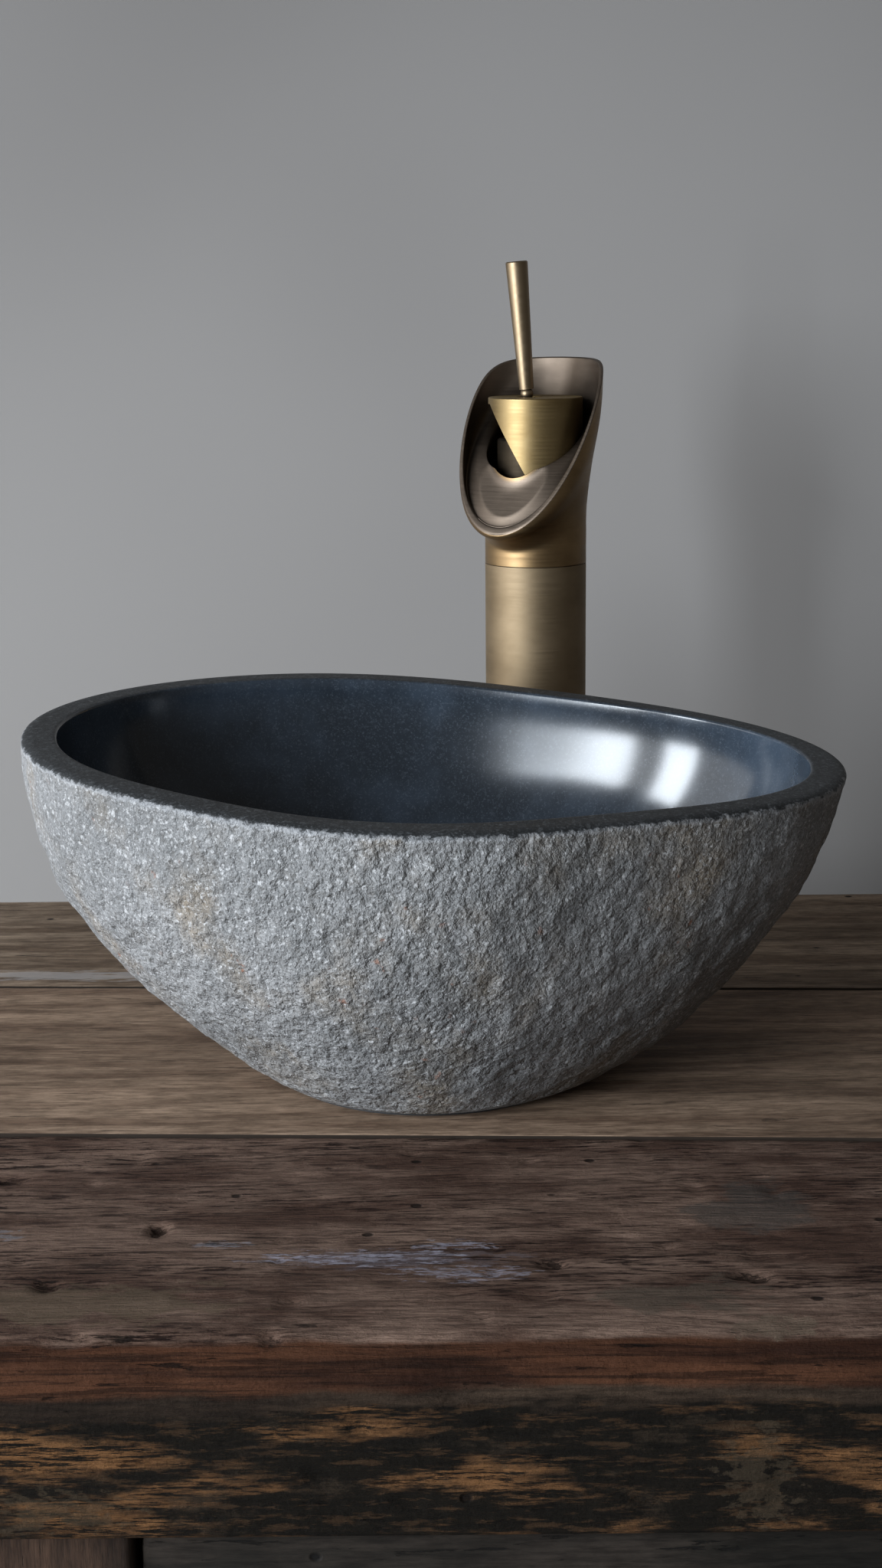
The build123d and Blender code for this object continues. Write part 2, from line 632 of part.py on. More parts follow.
def rim_cutter():
    """Everything above the rim: its top falls towards both ends, and rises towards the back."""
    reach = RIM_HALF_LENGTH * 1.3
    high = BASIN_Z + RIM_HEIGHT
    centre_x = BASIN_X + RIM_SHIFT_X
    centre_y = BASIN_Y + RIM_SHIFT_Y
    crest = []
    for share in (-1, -0.75, -0.5, -0.25, 0, 0.25, 0.5, 0.75, 1):
        x = share * reach
        crest.append((centre_x + x, centre_y, high + RIM_RISE_X * x - RIM_DROOP * x * x))
    lid = high + reach
    corners = [crest[-1], (centre_x + reach, centre_y, lid), (centre_x - reach, centre_y, lid), crest[0]]
    face = Face(Wire([Spline(*crest)] + [Line(a, b) for a, b in zip(corners, corners[1:])]))
    way = Vector(0, reach, RIM_RISE_Y * reach)
    return extrude(face, dir=way.normalized(), amount=reach, both=True)


def basin_parts():
    average = mean_radius()

    def foot(angle):
        return BASE_RADIUS * (1 + BASE_LOBE * (stone_radius(angle) / average - 1))

    def bowl_floor(angle):
        return BOWL_FLOOR_RADIUS

    def bowl_rim(angle):
        return stone_radius(angle) - RIM_WIDTH

    outside, inside = [], []
    for level in (0.0, 0.025, 0.07, 0.15, 0.26, 0.4, 0.56, 0.73, 0.88, 1.0, 1.08):
        shift = outside_spread(level, math.pi / 2)
        outside.append(stone_section(level, outside_spread, stone_radius, foot, shift, BASIN_Z))
    for level in (0.0, 0.03, 0.09, 0.18, 0.3, 0.45, 0.62, 0.8, 1.0, 1.12):
        shift = inside_spread(level, 0)
        inside.append(stone_section(level, inside_spread, bowl_rim, bowl_floor, shift, BOWL_Z))
    stone = Part() + skinned(outside) - rim_cutter()
    stone -= skinned(inside)
    stone -= disc(BASIN_X, BASIN_Y, BASIN_Z - OVERCUT, BOWL_Z + OVERCUT, DRAIN_RADIUS)
    seal_out = BASE_RADIUS - SEAL_INSET
    seal = ring(BASIN_X, BASIN_Y, TOP_HEIGHT, BASIN_Z, seal_out - SEAL_WIDTH, seal_out)
    return {"stone_basin": stone, "basin_seal": seal}


# ---------------------------------------------------------------- waste and trap
def waste_parts():
    """The waste through the stone and the plank, its sprung plug, and what clamps it from below."""
    x, y = BASIN_X, BASIN_Y
    body = turned(x, y, [
        (TAIL_BORE, TAIL_END),
        (TAIL_RADIUS, TAIL_END),
        (TAIL_RADIUS, FLANGE_Z),
        (FLANGE_RADIUS, FLANGE_Z),
        (FLANGE_RADIUS - FLANGE_THICKNESS / 2, FLANGE_TOP),
        (TAIL_BORE + FLANGE_BEVEL, FLANGE_TOP),
        (TAIL_BORE, FLANGE_TOP - FLANGE_BEVEL),
    ])
    web_low = WEB_TOP - WEB_HEIGHT
    arm = (TAIL_BORE + TAIL_RADIUS) / 2
    half = WEB_THICKNESS / 2
    body += disc(x, y, web_low, WEB_TOP, PLUG_STEM_RADIUS + WEB_THICKNESS)
    body += block(x - arm, x + arm, y - half, y + half, web_low, WEB_TOP)
    body += block(x - half, x + half, y - arm, y + arm, web_low, WEB_TOP)
    body -= disc(x, y, web_low - OVERCUT, WEB_TOP + OVERCUT, PLUG_STEM_RADIUS + FIT)
    parts = {"waste_body": body}
    parts["flange_seal"] = ring(x, y, BOWL_Z, FLANGE_Z, DRAIN_RADIUS, FLANGE_RADIUS - FLANGE_SEAL_INSET)
    dome = [(0, PLUG_Z), (PLUG_RADIUS, PLUG_Z)]
    steps = 8
    for step in range(steps + 1):
        turn = math.pi / 2 * step / steps
        height = PLUG_Z + PLUG_RIM + (PLUG_DOME - PLUG_RIM) * math.sin(turn)
        dome.append((PLUG_RADIUS * math.cos(turn), height))
    parts["waste_plug"] = turned(x, y, dome)
    stem_end = PLUG_Z - PLUG_STEM_LENGTH
    stem = disc(x, y, stem_end, PLUG_Z, PLUG_STEM_RADIUS)
    parts["plug_stem"] = stem + disc(x, y, stem_end, stem_end + PLUG_COLLAR_HEIGHT, PLUG_COLLAR_RADIUS)
    washer_z = PLANK_UNDER - WASHER_THICKNESS
    nut_bore = TAIL_RADIUS + NUT_CLEARANCE
    parts["waste_washer"] = ring(x, y, washer_z, PLANK_UNDER, nut_bore, WASHER_RADIUS)
    parts["waste_backnut"] = hexagon(x, y, washer_z - BACKNUT_HEIGHT, washer_z, BACKNUT_FLATS, nut_bore)
    return parts


def trap_parts():
    """The bottle trap: a dip pipe into a cup, and an outlet to the wall."""
    x, y = BASIN_X, BASIN_Y
    bore = PIPE_RADIUS - PIPE_WALL
    nut_bore = PIPE_RADIUS + NUT_CLEARANCE
    collar_z = TAIL_END - PIPE_COLLAR
    union_low = collar_z - UNION_SHOULDER
    union_top = union_low + UNION_HEIGHT
    union_bore = TAIL_RADIUS + NUT_CLEARANCE
    parts = {}
    parts["trap_inlet_nut"] = turned(x, y, [
        (nut_bore, union_low),
        (UNION_RADIUS - NUT_BEVEL, union_low),
        (UNION_RADIUS, union_low + NUT_BEVEL),
        (UNION_RADIUS, union_top),
        (union_bore, union_top),
        (union_bore, collar_z),
        (nut_bore, collar_z),
    ])
    inlet = ring(x, y, TRAP_LOW - DIP_DEPTH, TAIL_END, bore, PIPE_RADIUS)
    parts["trap_inlet_pipe"] = inlet + ring(x, y, collar_z, TAIL_END, bore, (TAIL_BORE + TAIL_RADIUS) / 2)
    skirt = HEAD_RADIUS - CUP_WALL - NUT_CLEARANCE
    skirt_low = TRAP_LOW - SKIRT_LENGTH
    inner = skirt - HEAD_WALL
    ceiling = TRAP_TOP - HEAD_WALL
    head = turned(x, y, [
        (PIPE_RADIUS + FIT, TRAP_TOP),
        (HEAD_RADIUS - HEAD_BEVEL, TRAP_TOP),
        (HEAD_RADIUS, TRAP_TOP - HEAD_BEVEL),
        (HEAD_RADIUS, TRAP_LOW),
        (skirt, TRAP_LOW),
        (skirt, skirt_low),
        (inner, skirt_low),
        (inner, ceiling),
        (PIPE_RADIUS + FIT, ceiling),
    ])
    head += bar_y(x, OUTLET_Z, y + PIPE_RADIUS + FIT, SOCKET_END, SOCKET_RADIUS)
    head -= bar_y(x, OUTLET_Z, y, SOCKET_END + OVERCUT, PIPE_RADIUS + FIT)
    head -= disc(x, y, skirt_low, ceiling, inner)
    parts["trap_head"] = head
    gland = turned(0, 0, [
        (nut_bore, 0),
        (GLAND_RADIUS, 0),
        (GLAND_RADIUS, GLAND_LENGTH - NUT_BEVEL),
        (GLAND_RADIUS - NUT_BEVEL, GLAND_LENGTH),
        (nut_bore, GLAND_LENGTH),
    ])
    top_nut = Pos(x, y, TRAP_TOP) * gland
    outlet_nut = Pos(x, SOCKET_END, OUTLET_Z) * Rot(-90, 0, 0) * gland
    parts["trap_gland_nuts"] = Compound(children=[top_nut, outlet_nut])
    cup_low = TRAP_LOW - CUP_HEIGHT
    cup_in = HEAD_RADIUS - CUP_WALL
    bevel = CUP_BEVEL + CUP_WALL / 2
    parts["trap_cup"] = turned(x, y, [
        (0, cup_low),
        (HEAD_RADIUS - CUP_BEVEL, cup_low),
        (HEAD_RADIUS, cup_low + CUP_BEVEL),
        (HEAD_RADIUS, TRAP_LOW),
        (cup_in, TRAP_LOW),
        (cup_in, cup_low + bevel),
        (HEAD_RADIUS - bevel, cup_low + CUP_WALL),
        (0, cup_low + CUP_WALL),
    ])
    pipe = bar_y(x, OUTLET_Z, y + HEAD_RADIUS, OUTLET_END, PIPE_RADIUS)
    pipe += bar_y(x, OUTLET_Z, BACK, BACK + OUTLET_BEAD_WIDTH, OUTLET_BEAD_RADIUS)
    parts["outlet_pipe"] = pipe - bar_y(x, OUTLET_Z, y, OUTLET_END + OVERCUT, bore)
    rose = bar_y(x, OUTLET_Z, BACK - ROSETTE_THICKNESS, BACK, ROSETTE_RADIUS)
    rose = chamfer(rose.edges().group_by(Axis.Y)[0], ROSETTE_THICKNESS * 0.6, ROSETTE_THICKNESS * 1.5)
    rose -= bar_y(x, OUTLET_Z, BACK - ROSETTE_THICKNESS - OVERCUT, BACK + OVERCUT, nut_bore)
    parts["wall_rosette"] = rose
    return parts


# ---------------------------------------------------------------- mixer tap
def spout_section(radius, oval, low, high, shift, samples=24):
    """A tilted closed section of the scoop, low at its lip and high behind, in heights above the seat."""
    points = []
    for i in range(samples):
        angle = math.tau * i / samples
        lipward = math.cos(angle - math.radians(SPOUT_TURN))
        reach = radius * (1 + oval * lipward)
        share = (1 + oval - (1 + oval * lipward) * lipward) / 2
        z = SEAT_Z + between(low, high, share)
        points.append((TAP_X + shift - reach * math.sin(angle), TAP_Y - reach * math.cos(angle), z))
    return points


def scoop_outside():
    """The scoop's outside. Each row has shares of the widening, the lip's height and the top's height."""
    sections = []
    for widening, lip, top in (
        (0, 0, 0),
        (0, 0.24, 0.153),
        (0.04, 0.48, 0.371),
        (0.41, 0.70, 0.678),
        (0.94, 0.88, 1),
        (1.04, 1.67, 1.134),
        (1.06, 2.58, 1.272),
    ):
        radius = between(TUBE_RADIUS, SPOUT_REACH, widening)
        low = between(HEAD_LOW, SPOUT_LIP, lip)
        high = between(HEAD_LOW, SPOUT_TOP, top)
        share = min(widening, 1)
        sections.append(spout_section(radius, SPOUT_OVAL * share, low, high, SPOUT_SHIFT * share))
    return skinned(sections)


def scoop_inside():
    """The chute that opens from the hub's bore to the rim, with rows of shares as the outside has."""
    sections = []
    for widening, lip, top in (
        (-0.24, 0, 0.444),
        (0.05, 0.06, 0.6),
        (0.45, 0.38, 0.8),
        (0.89, 0.92, 1.03),
        (1.05, 0.54, 1.25),
        (1.07, 0, 1.49),
    ):
        radius = between(HEAD_BORE, SPOUT_REACH - SPOUT_WALL, widening)
        low = between(CHUTE_TOP, SPOUT_LIP, lip)
        high = between(CHUTE_TOP, SPOUT_TOP, top)
        share = min(max(widening, 0), 1)
        sections.append(spout_section(radius, SPOUT_OVAL * share, low, high, SPOUT_SHIFT * share))
    return skinned(sections)


def scoop_cutter():
    """Everything above the scoop's edge: flat behind, then a long slope down towards the lip."""
    reach = SPOUT_REACH * 1.5
    edge = []
    for share in (-1, -0.7, -0.45, -0.25, -0.05, 0.2, 0.5, 0.8, 1.1):
        u = share * SPOUT_REACH
        drop = CUT_SLOPE * CUT_SOFTNESS * math.log1p(math.exp((u - CUT_START) / CUT_SOFTNESS))
        edge.append((0, -u, SEAT_Z + SPOUT_TOP - drop))
    lid = SEAT_Z + SPOUT_TOP + reach
    front = edge[-1][1] - reach
    back = edge[0][1] + reach
    corners = [
        edge[-1],
        (0, front, edge[-1][2] - reach * CUT_SLOPE),
        (0, front, lid),
        (0, back, lid),
        (0, back, edge[0][2]),
        edge[0],
    ]
    face = Face(Wire([Spline(*edge)] + [Line(a, b) for a, b in zip(corners, corners[1:])]))
    solid = extrude(face, dir=(1, 0, 0), amount=reach * 2, both=True)
    return Pos(TAP_X, TAP_Y, 0) * Rot(0, 0, -SPOUT_TURN) * solid


def spout_head():
    """The cast head: a short tube that flares into an obliquely cut scoop, with a bore for the hub."""
    head = Part() + scoop_outside() - scoop_cutter()
    head -= scoop_inside()
    head -= disc(TAP_X, TAP_Y, SEAT_Z, SEAT_Z + SPOUT_TOP + SPOUT_REACH, HEAD_BORE)
    low = SEAT_Z + HEAD_LOW
    spigot_low = TOP_HEIGHT + TUBE_TOP - SPIGOT_LENGTH
    head += disc(TAP_X, TAP_Y, spigot_low, low, TUBE_RADIUS - TUBE_WALL - NUT_CLEARANCE)
    boss_in = CARTRIDGE_RADIUS + FIT
    head += ring(LEVER_X, TAP_Y, SEAT_Z, BOSS_TOP, boss_in, boss_in + BOSS_WALL)
    for side in (-1, 1):
        head -= disc(supply_x(side), TAP_Y, spigot_low - OVERCUT, SEAT_Z + OVERCUT, SUPPLY_TUBE_RADIUS + FIT)
    return head


def supply_x(side):
    """Where the inner hot or cold tube stands, under the cartridge."""
    return LEVER_X + side * SUPPLY_SPACING / 2


def hub():
    """The round cap over the cartridge. A slanted slot in its skirt lets the water out."""
    top = SEAT_Z + HUB_TOP
    ceiling = top - HUB_PLATE
    shell = disc(TAP_X, TAP_Y, SEAT_Z, top, HUB_RADIUS)
    shell = chamfer(shell.edges().group_by(Axis.Z)[-1], HUB_EDGE)
    shell -= disc(TAP_X, TAP_Y, SEAT_Z - OVERCUT, ceiling, HUB_RADIUS - HUB_WALL)
    shell -= disc(LEVER_X, TAP_Y, SEAT_Z, top + OVERCUT, HUB_HOLE_RADIUS)
    middle = SEAT_Z + (HUB_SLOT_LOW + HUB_SLOT_HIGH) / 2
    rise = (HUB_SLOT_HIGH - HUB_SLOT_LOW) / 2 / HUB_RADIUS
    far = HUB_RADIUS * 2
    floor_z = SEAT_Z - far * 2
    corners = [
        (0, far, middle - rise * far),
        (0, -far, middle + rise * far),
        (0, -far, floor_z),
        (0, far, floor_z),
    ]
    wedge = extrude(make_face(Polyline(*corners, close=True)), dir=(1, 0, 0), amount=far, both=True)
    wedge &= block(-far, far, -far, far, floor_z, ceiling)
    return shell - Pos(TAP_X, TAP_Y, 0) * Rot(0, 0, -HUB_SLOT_TURN) * wedge


def cartridge_parts():
    """The cartridge in its boss, the nut that holds it, and the spindle that turns in it."""
    x, y = LEVER_X, TAP_Y
    spindle_low = CARTRIDGE_TOP - SPINDLE_HEIGHT
    cartridge = disc(x, y, SEAT_Z, CARTRIDGE_TOP, CARTRIDGE_RADIUS)
    cartridge -= disc(x, y, spindle_low - RUNNING_GAP, CARTRIDGE_TOP + OVERCUT, SPINDLE_RADIUS + FIT)
    nut_in = CARTRIDGE_RADIUS + FIT + BOSS_WALL + FIT
    nut_out = nut_in + CARTRIDGE_NUT_WALL
    nut_low = BOSS_TOP - CARTRIDGE_NUT_LAP
    nut_top = CARTRIDGE_TOP + CARTRIDGE_NUT_CAP
    nut = turned(x, y, [
        (CARTRIDGE_NUT_HOLE, CARTRIDGE_TOP),
        (nut_in, CARTRIDGE_TOP),
        (nut_in, nut_low),
        (nut_out, nut_low),
        (nut_out, nut_top - CARTRIDGE_NUT_BEVEL),
        (nut_out - CARTRIDGE_NUT_BEVEL, nut_top),
        (CARTRIDGE_NUT_HOLE, nut_top),
    ])
    ear_in = EYE_WIDTH / 2 + EYE_GAP
    ear_out = ear_in + EAR_THICKNESS
    fork = block(x - EYE_RADIUS, x + EYE_RADIUS, y - ear_out, y + ear_out, spindle_low, PIVOT_Z + EYE_RADIUS)
    room = EYE_RADIUS + EYE_ROOM
    fork -= block(x - room, x + room, y - ear_in, y + ear_in, PIVOT_Z - room, PIVOT_Z + room)
    spindle = disc(x, y, spindle_low, CARTRIDGE_TOP, SPINDLE_RADIUS) + fork
    pin = bar_y(x, PIVOT_Z, y - ear_out, y + ear_out, PIVOT_PIN_RADIUS)
    return {
        "mixing_cartridge": cartridge,
        "cartridge_nut": nut,
        "cartridge_spindle": spindle - pin,
        "pivot_pin": pin,
    }


def lever_parts():
    """The joystick that tilts on its pin: a stem with a ball under the rod, and a rubber boot."""
    upright = Pos(LEVER_X, TAP_Y, PIVOT_Z) * Rot(0, -ROD_LEAN, 0)
    stem = bar_y(0, 0, -EYE_WIDTH / 2, EYE_WIDTH / 2, EYE_RADIUS)
    stem += disc(0, 0, 0, ROD_START + ROD_SOCKET, STEM_RADIUS)
    stem -= bar_y(0, 0, -EYE_WIDTH, EYE_WIDTH, PIVOT_PIN_RADIUS + FIT)
    stem += Pos(0, 0, ROD_START - BALL_RADIUS * 0.7) * Sphere(BALL_RADIUS)
    stem -= ring(0, 0, ROD_START, ROD_START + BALL_RADIUS, STEM_RADIUS, BALL_RADIUS * 2)
    rod = turned(0, 0, [
        (0, ROD_START),
        (ROD_FOOT_RADIUS, ROD_START),
        (ROD_TIP_RADIUS, ROD_END - ROD_TIP_EDGE),
        (ROD_TIP_RADIUS - ROD_TIP_EDGE, ROD_END),
        (0, ROD_END),
    ])
    rod -= disc(0, 0, ROD_START - OVERCUT, ROD_START + ROD_SOCKET + FIT, STEM_RADIUS + FIT)
    edge_z = BOOT_RADIUS * math.cos(math.radians(BOOT_SPREAD))
    boot = Sphere(BOOT_RADIUS) - Sphere(BOOT_RADIUS - BOOT_THICKNESS)
    boot &= disc(0, 0, edge_z, BOOT_RADIUS * 2, BOOT_RADIUS)
    boot -= disc(0, 0, 0, BOOT_RADIUS * 2, STEM_RADIUS + FIT)
    return {"lever_stem": upright * stem, "lever_rod": upright * rod, "lever_boot": upright * boot}


def tap_parts():
    """The tap from its tube down to what clamps it, then its head and hub."""
    x, y = TAP_X, TAP_Y
    bore = TUBE_RADIUS - TUBE_WALL
    parts = {}
    ring_top = TAP_FOOT_Z + BASE_RING_HEIGHT
    gasket_out = BASE_RING_RADIUS - BASE_RING_EDGE
    parts["base_gasket"] = ring(x, y, TOP_HEIGHT, TAP_FOOT_Z, TAP_HOLE_RADIUS + CLAMP_CLEARANCE, gasket_out)
    base = ring(x, y, TAP_FOOT_Z, ring_top, TUBE_RADIUS + FIT, BASE_RING_RADIUS)
    top_edge = base.edges().group_by(Axis.Z)[-1].sort_by(SortBy.RADIUS)[-1]
    parts["tap_base_ring"] = chamfer(top_edge, BASE_RING_EDGE)
    parts["tap_tube"] = ring(x, y, TAP_FOOT_Z, TOP_HEIGHT + TUBE_TOP, bore, TUBE_RADIUS)
    foot_top = TAP_FOOT_Z + FOOT_HEIGHT
    foot = disc(x, y, TAP_FOOT_Z, foot_top, bore - FIT)
    stud_y = y + STUD_OFFSET
    stud_top = foot_top - SOCKET_DEPTH / 2
    foot -= disc(x, stud_y, TAP_FOOT_Z - OVERCUT, stud_top, STUD_RADIUS)
    parts["mounting_stud"] = disc(x, stud_y, PLANK_UNDER - STUD_BELOW_PLANK, stud_top, STUD_RADIUS)
    tail_y = y - INLET_OFFSET
    tail_top = TAP_FOOT_Z + SOCKET_DEPTH
    tube_low = foot_top - SOCKET_DEPTH
    tube_bore = SUPPLY_TUBE_RADIUS - SUPPLY_TUBE_WALL
    tail_low = PLANK_UNDER - INLET_BELOW_PLANK
    bead_top = PLANK_UNDER - INLET_BEAD_DROP
    bead_low = bead_top - INLET_BEAD_HEIGHT
    tails, tubes = [], []
    for side in (-1, 1):
        tail_x = x + side * INLET_SPACING / 2
        foot -= disc(tail_x, tail_y, TAP_FOOT_Z - OVERCUT, tail_top, INLET_RADIUS)
        foot -= disc(supply_x(side), y, tube_low, foot_top + OVERCUT, SUPPLY_TUBE_RADIUS + FIT)
        bead = ring(tail_x, tail_y, bead_low, bead_top, INLET_BORE, INLET_BEAD_RADIUS)
        tails.append(ring(tail_x, tail_y, tail_low, tail_top, INLET_BORE, INLET_RADIUS) + bead)
        tubes.append(ring(supply_x(side), y, tube_low, SEAT_Z, tube_bore, SUPPLY_TUBE_RADIUS))
    parts["tap_foot"] = foot
    parts["inlet_tails"] = Compound(children=tails)
    parts["supply_tubes"] = Compound(children=tubes)
    plate_low = PLANK_UNDER - CLAMP_THICKNESS
    parts["clamp_plate"] = horseshoe(plate_low, PLANK_UNDER)
    nut_bore = STUD_RADIUS + FIT
    parts["stud_nut"] = hexagon(x, stud_y, plate_low - STUD_NUT_HEIGHT, plate_low, STUD_NUT_FLATS, nut_bore)
    parts["spout_head"] = spout_head()
    parts["cartridge_hub"] = hub()
    return parts


def horseshoe(z0, z1):
    """The clamp's outline: a disc with a slot for the inlet tails and a hole for the stud."""
    low, high = z0 - OVERCUT, z1 + OVERCUT
    plate = disc(TAP_X, TAP_Y, z0, z1, CLAMP_RADIUS)
    slot_half = INLET_SPACING / 2 + INLET_RADIUS + CLAMP_CLEARANCE
    slot_end = TAP_Y - INLET_OFFSET + INLET_RADIUS + CLAMP_CLEARANCE
    plate -= block(TAP_X - slot_half, TAP_X + slot_half, TAP_Y - CLAMP_RADIUS - OVERCUT, slot_end, low, high)
    return plate - disc(TAP_X, TAP_Y + STUD_OFFSET, low, high, STUD_RADIUS + NUT_CLEARANCE)


def main():
    os.makedirs("parts", exist_ok=True)
    groups = (
        worktop,
        frame_parts,
        shelf_parts,
        drawer_parts,
        basin_parts,
        waste_parts,
        trap_parts,
        tap_parts,
        cartridge_parts,
        lever_parts,
    )
    for group in groups:
        for name, part in group().items():
            export_step(part, f"parts/{name}.step")


if __name__ == "__main__":
    main()
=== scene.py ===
"""Looks of a stone vessel sink on a reclaimed timber vanity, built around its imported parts.

Lengths in the classes are millimetres and a mesh's points are turned into metres as it is made.
X runs to the right, Y to the back and Z up, from the floor.
"""

import logging
import math
from collections.abc import Sequence
from dataclasses import dataclass
from enum import Enum

import bpy
import numpy as np
from mathutils import Matrix, Vector


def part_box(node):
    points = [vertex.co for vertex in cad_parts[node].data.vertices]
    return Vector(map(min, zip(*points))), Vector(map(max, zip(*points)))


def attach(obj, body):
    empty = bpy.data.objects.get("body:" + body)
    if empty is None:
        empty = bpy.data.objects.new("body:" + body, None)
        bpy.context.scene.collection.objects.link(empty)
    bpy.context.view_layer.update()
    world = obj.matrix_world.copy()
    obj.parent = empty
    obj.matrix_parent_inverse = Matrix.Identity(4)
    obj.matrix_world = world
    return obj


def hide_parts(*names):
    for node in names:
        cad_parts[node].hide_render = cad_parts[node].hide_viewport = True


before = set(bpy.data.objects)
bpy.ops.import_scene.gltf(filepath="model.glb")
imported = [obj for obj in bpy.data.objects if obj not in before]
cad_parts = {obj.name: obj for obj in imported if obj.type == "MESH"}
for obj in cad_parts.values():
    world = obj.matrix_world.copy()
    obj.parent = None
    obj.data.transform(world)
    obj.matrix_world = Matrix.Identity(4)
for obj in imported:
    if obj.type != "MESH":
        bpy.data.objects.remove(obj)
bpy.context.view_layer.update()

MM = 0.001
LOG = logging.getLogger("vanity")

# large odd numbers that spread a lattice point's bits, and a shift that keeps its numbers above zero
AXIS_FACTORS = (374761393, 668265263, 2246822519)
SEED_FACTOR = 40503
LAST_FACTOR = 1274126177
CELL_SHIFT = 1000.0

Socket = bpy.types.NodeSocket
Colour = tuple[float, float, float]
Shares = tuple[tuple[float, float, float], ...]


# ---------------------------------------------------------------- numbers and shapes
def node_box(name: str) -> tuple[np.ndarray, np.ndarray]:
    """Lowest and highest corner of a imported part, in millimetres.

    Args:
        name: the part's name.

    Returns:
        The two corners.
    """
    low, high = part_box(name)
    return np.array(low) / MM, np.array(high) / MM


def smooth(value: np.ndarray, start: float, end: float) -> np.ndarray:
    """A soft step from 0 to 1: 3t^2 - 2t^3, where t is the share of the way from start to end.

    Args:
        value: the numbers that are stepped.
        start: the value at which the step begins.
        end: the value at which it is complete.

    Returns:
        The step, as an array like value.
    """
    share = np.clip((value - start) / (end - start), 0.0, 1.0)
    return share * share * (3.0 - 2.0 * share)


def lattice(cells: np.ndarray, seed: int) -> np.ndarray:
    """A repeatable number from 0 to 1 for each whole-number point, by mixing its three numbers' bits.

    Args:
        cells: whole numbers, with the last axis of length 3.
        seed: picks another pattern.

    Returns:
        One number for each point.
    """
    mixed = np.full(cells.shape[:-1], seed * SEED_FACTOR, np.uint64)
    for axis, factor in enumerate(AXIS_FACTORS):
        mixed = mixed + cells[..., axis].astype(np.uint64) * np.uint64(factor)
    mixed = (mixed ^ (mixed >> np.uint64(13))) * np.uint64(LAST_FACTOR)
    return ((mixed ^ (mixed >> np.uint64(16))) & np.uint64(0xFFFF)).astype(float) / 0xFFFF


def lumps(points: np.ndarray, size: float | Sequence[float], seed: int) -> np.ndarray:
    """Smooth noise from -1 to 1: lattice numbers blended with a soft step between a cell's eight corners.

    Args:
        points: places in millimetres, with the last axis of length 3.
        size: the cell's size, one number or one for each axis.
        seed: picks another pattern.

    Returns:
        One number for each point.
    """
    scaled = points / np.asarray(size, float) + CELL_SHIFT
    cell = np.floor(scaled).astype(np.int64)
    share = scaled - cell
    share = share * share * (3.0 - 2.0 * share)
    total = np.zeros(points.shape[:-1])
    for corner in np.ndindex(2, 2, 2):
        weight = np.prod(np.where(np.array(corner) == 1, share, 1.0 - share), axis=-1)
        total += weight * lattice(cell + np.array(corner), seed)
    return 2.0 * total - 1.0


def surface_normals(rows: np.ndarray, wrap_rows: bool) -> np.ndarray:
    """Unit normals of a grid of points: the cross product of its steps along columns and along rows.

    Args:
        rows: points as rows by columns by 3, with the columns going round.
        wrap_rows: whether the last row meets the first.

    Returns:
        The normals, pointing to the side that the cross product gives.
    """
    along = np.roll(rows, -1, axis=1) - np.roll(rows, 1, axis=1)
    if wrap_rows:
        over = np.roll(rows, -1, axis=0) - np.roll(rows, 1, axis=0)
    else:
        over = np.gradient(rows, axis=0)
    normals = np.cross(along, over)
    return normals / np.maximum(np.linalg.norm(normals, axis=-1, keepdims=True), 1e-9)


def spline_rows(table: np.ndarray, places: np.ndarray) -> np.ndarray:
    """A smooth curve through evenly spaced rows: on each span a cubic with the neighbours' mean slopes.

    Args:
        table: rows by columns.
        places: where to read the curve, from 0 at the first row to 1 at the last.

    Returns:
        One row of numbers for each place.
    """
    slopes = np.gradient(table, axis=0)
    at = np.clip(places, 0.0, 1.0) * (len(table) - 1)
    span = np.minimum(at.astype(int), len(table) - 2)
    t = (at - span)[:, None]
    start, end = table[span], table[span + 1]
    rise, fall = slopes[span], slopes[span + 1]
    return (
        start * (2 * t**3 - 3 * t**2 + 1)
        + rise * (t**3 - 2 * t**2 + t)
        + end * (3 * t**2 - 2 * t**3)
        + fall * (t**3 - t**2)
    )


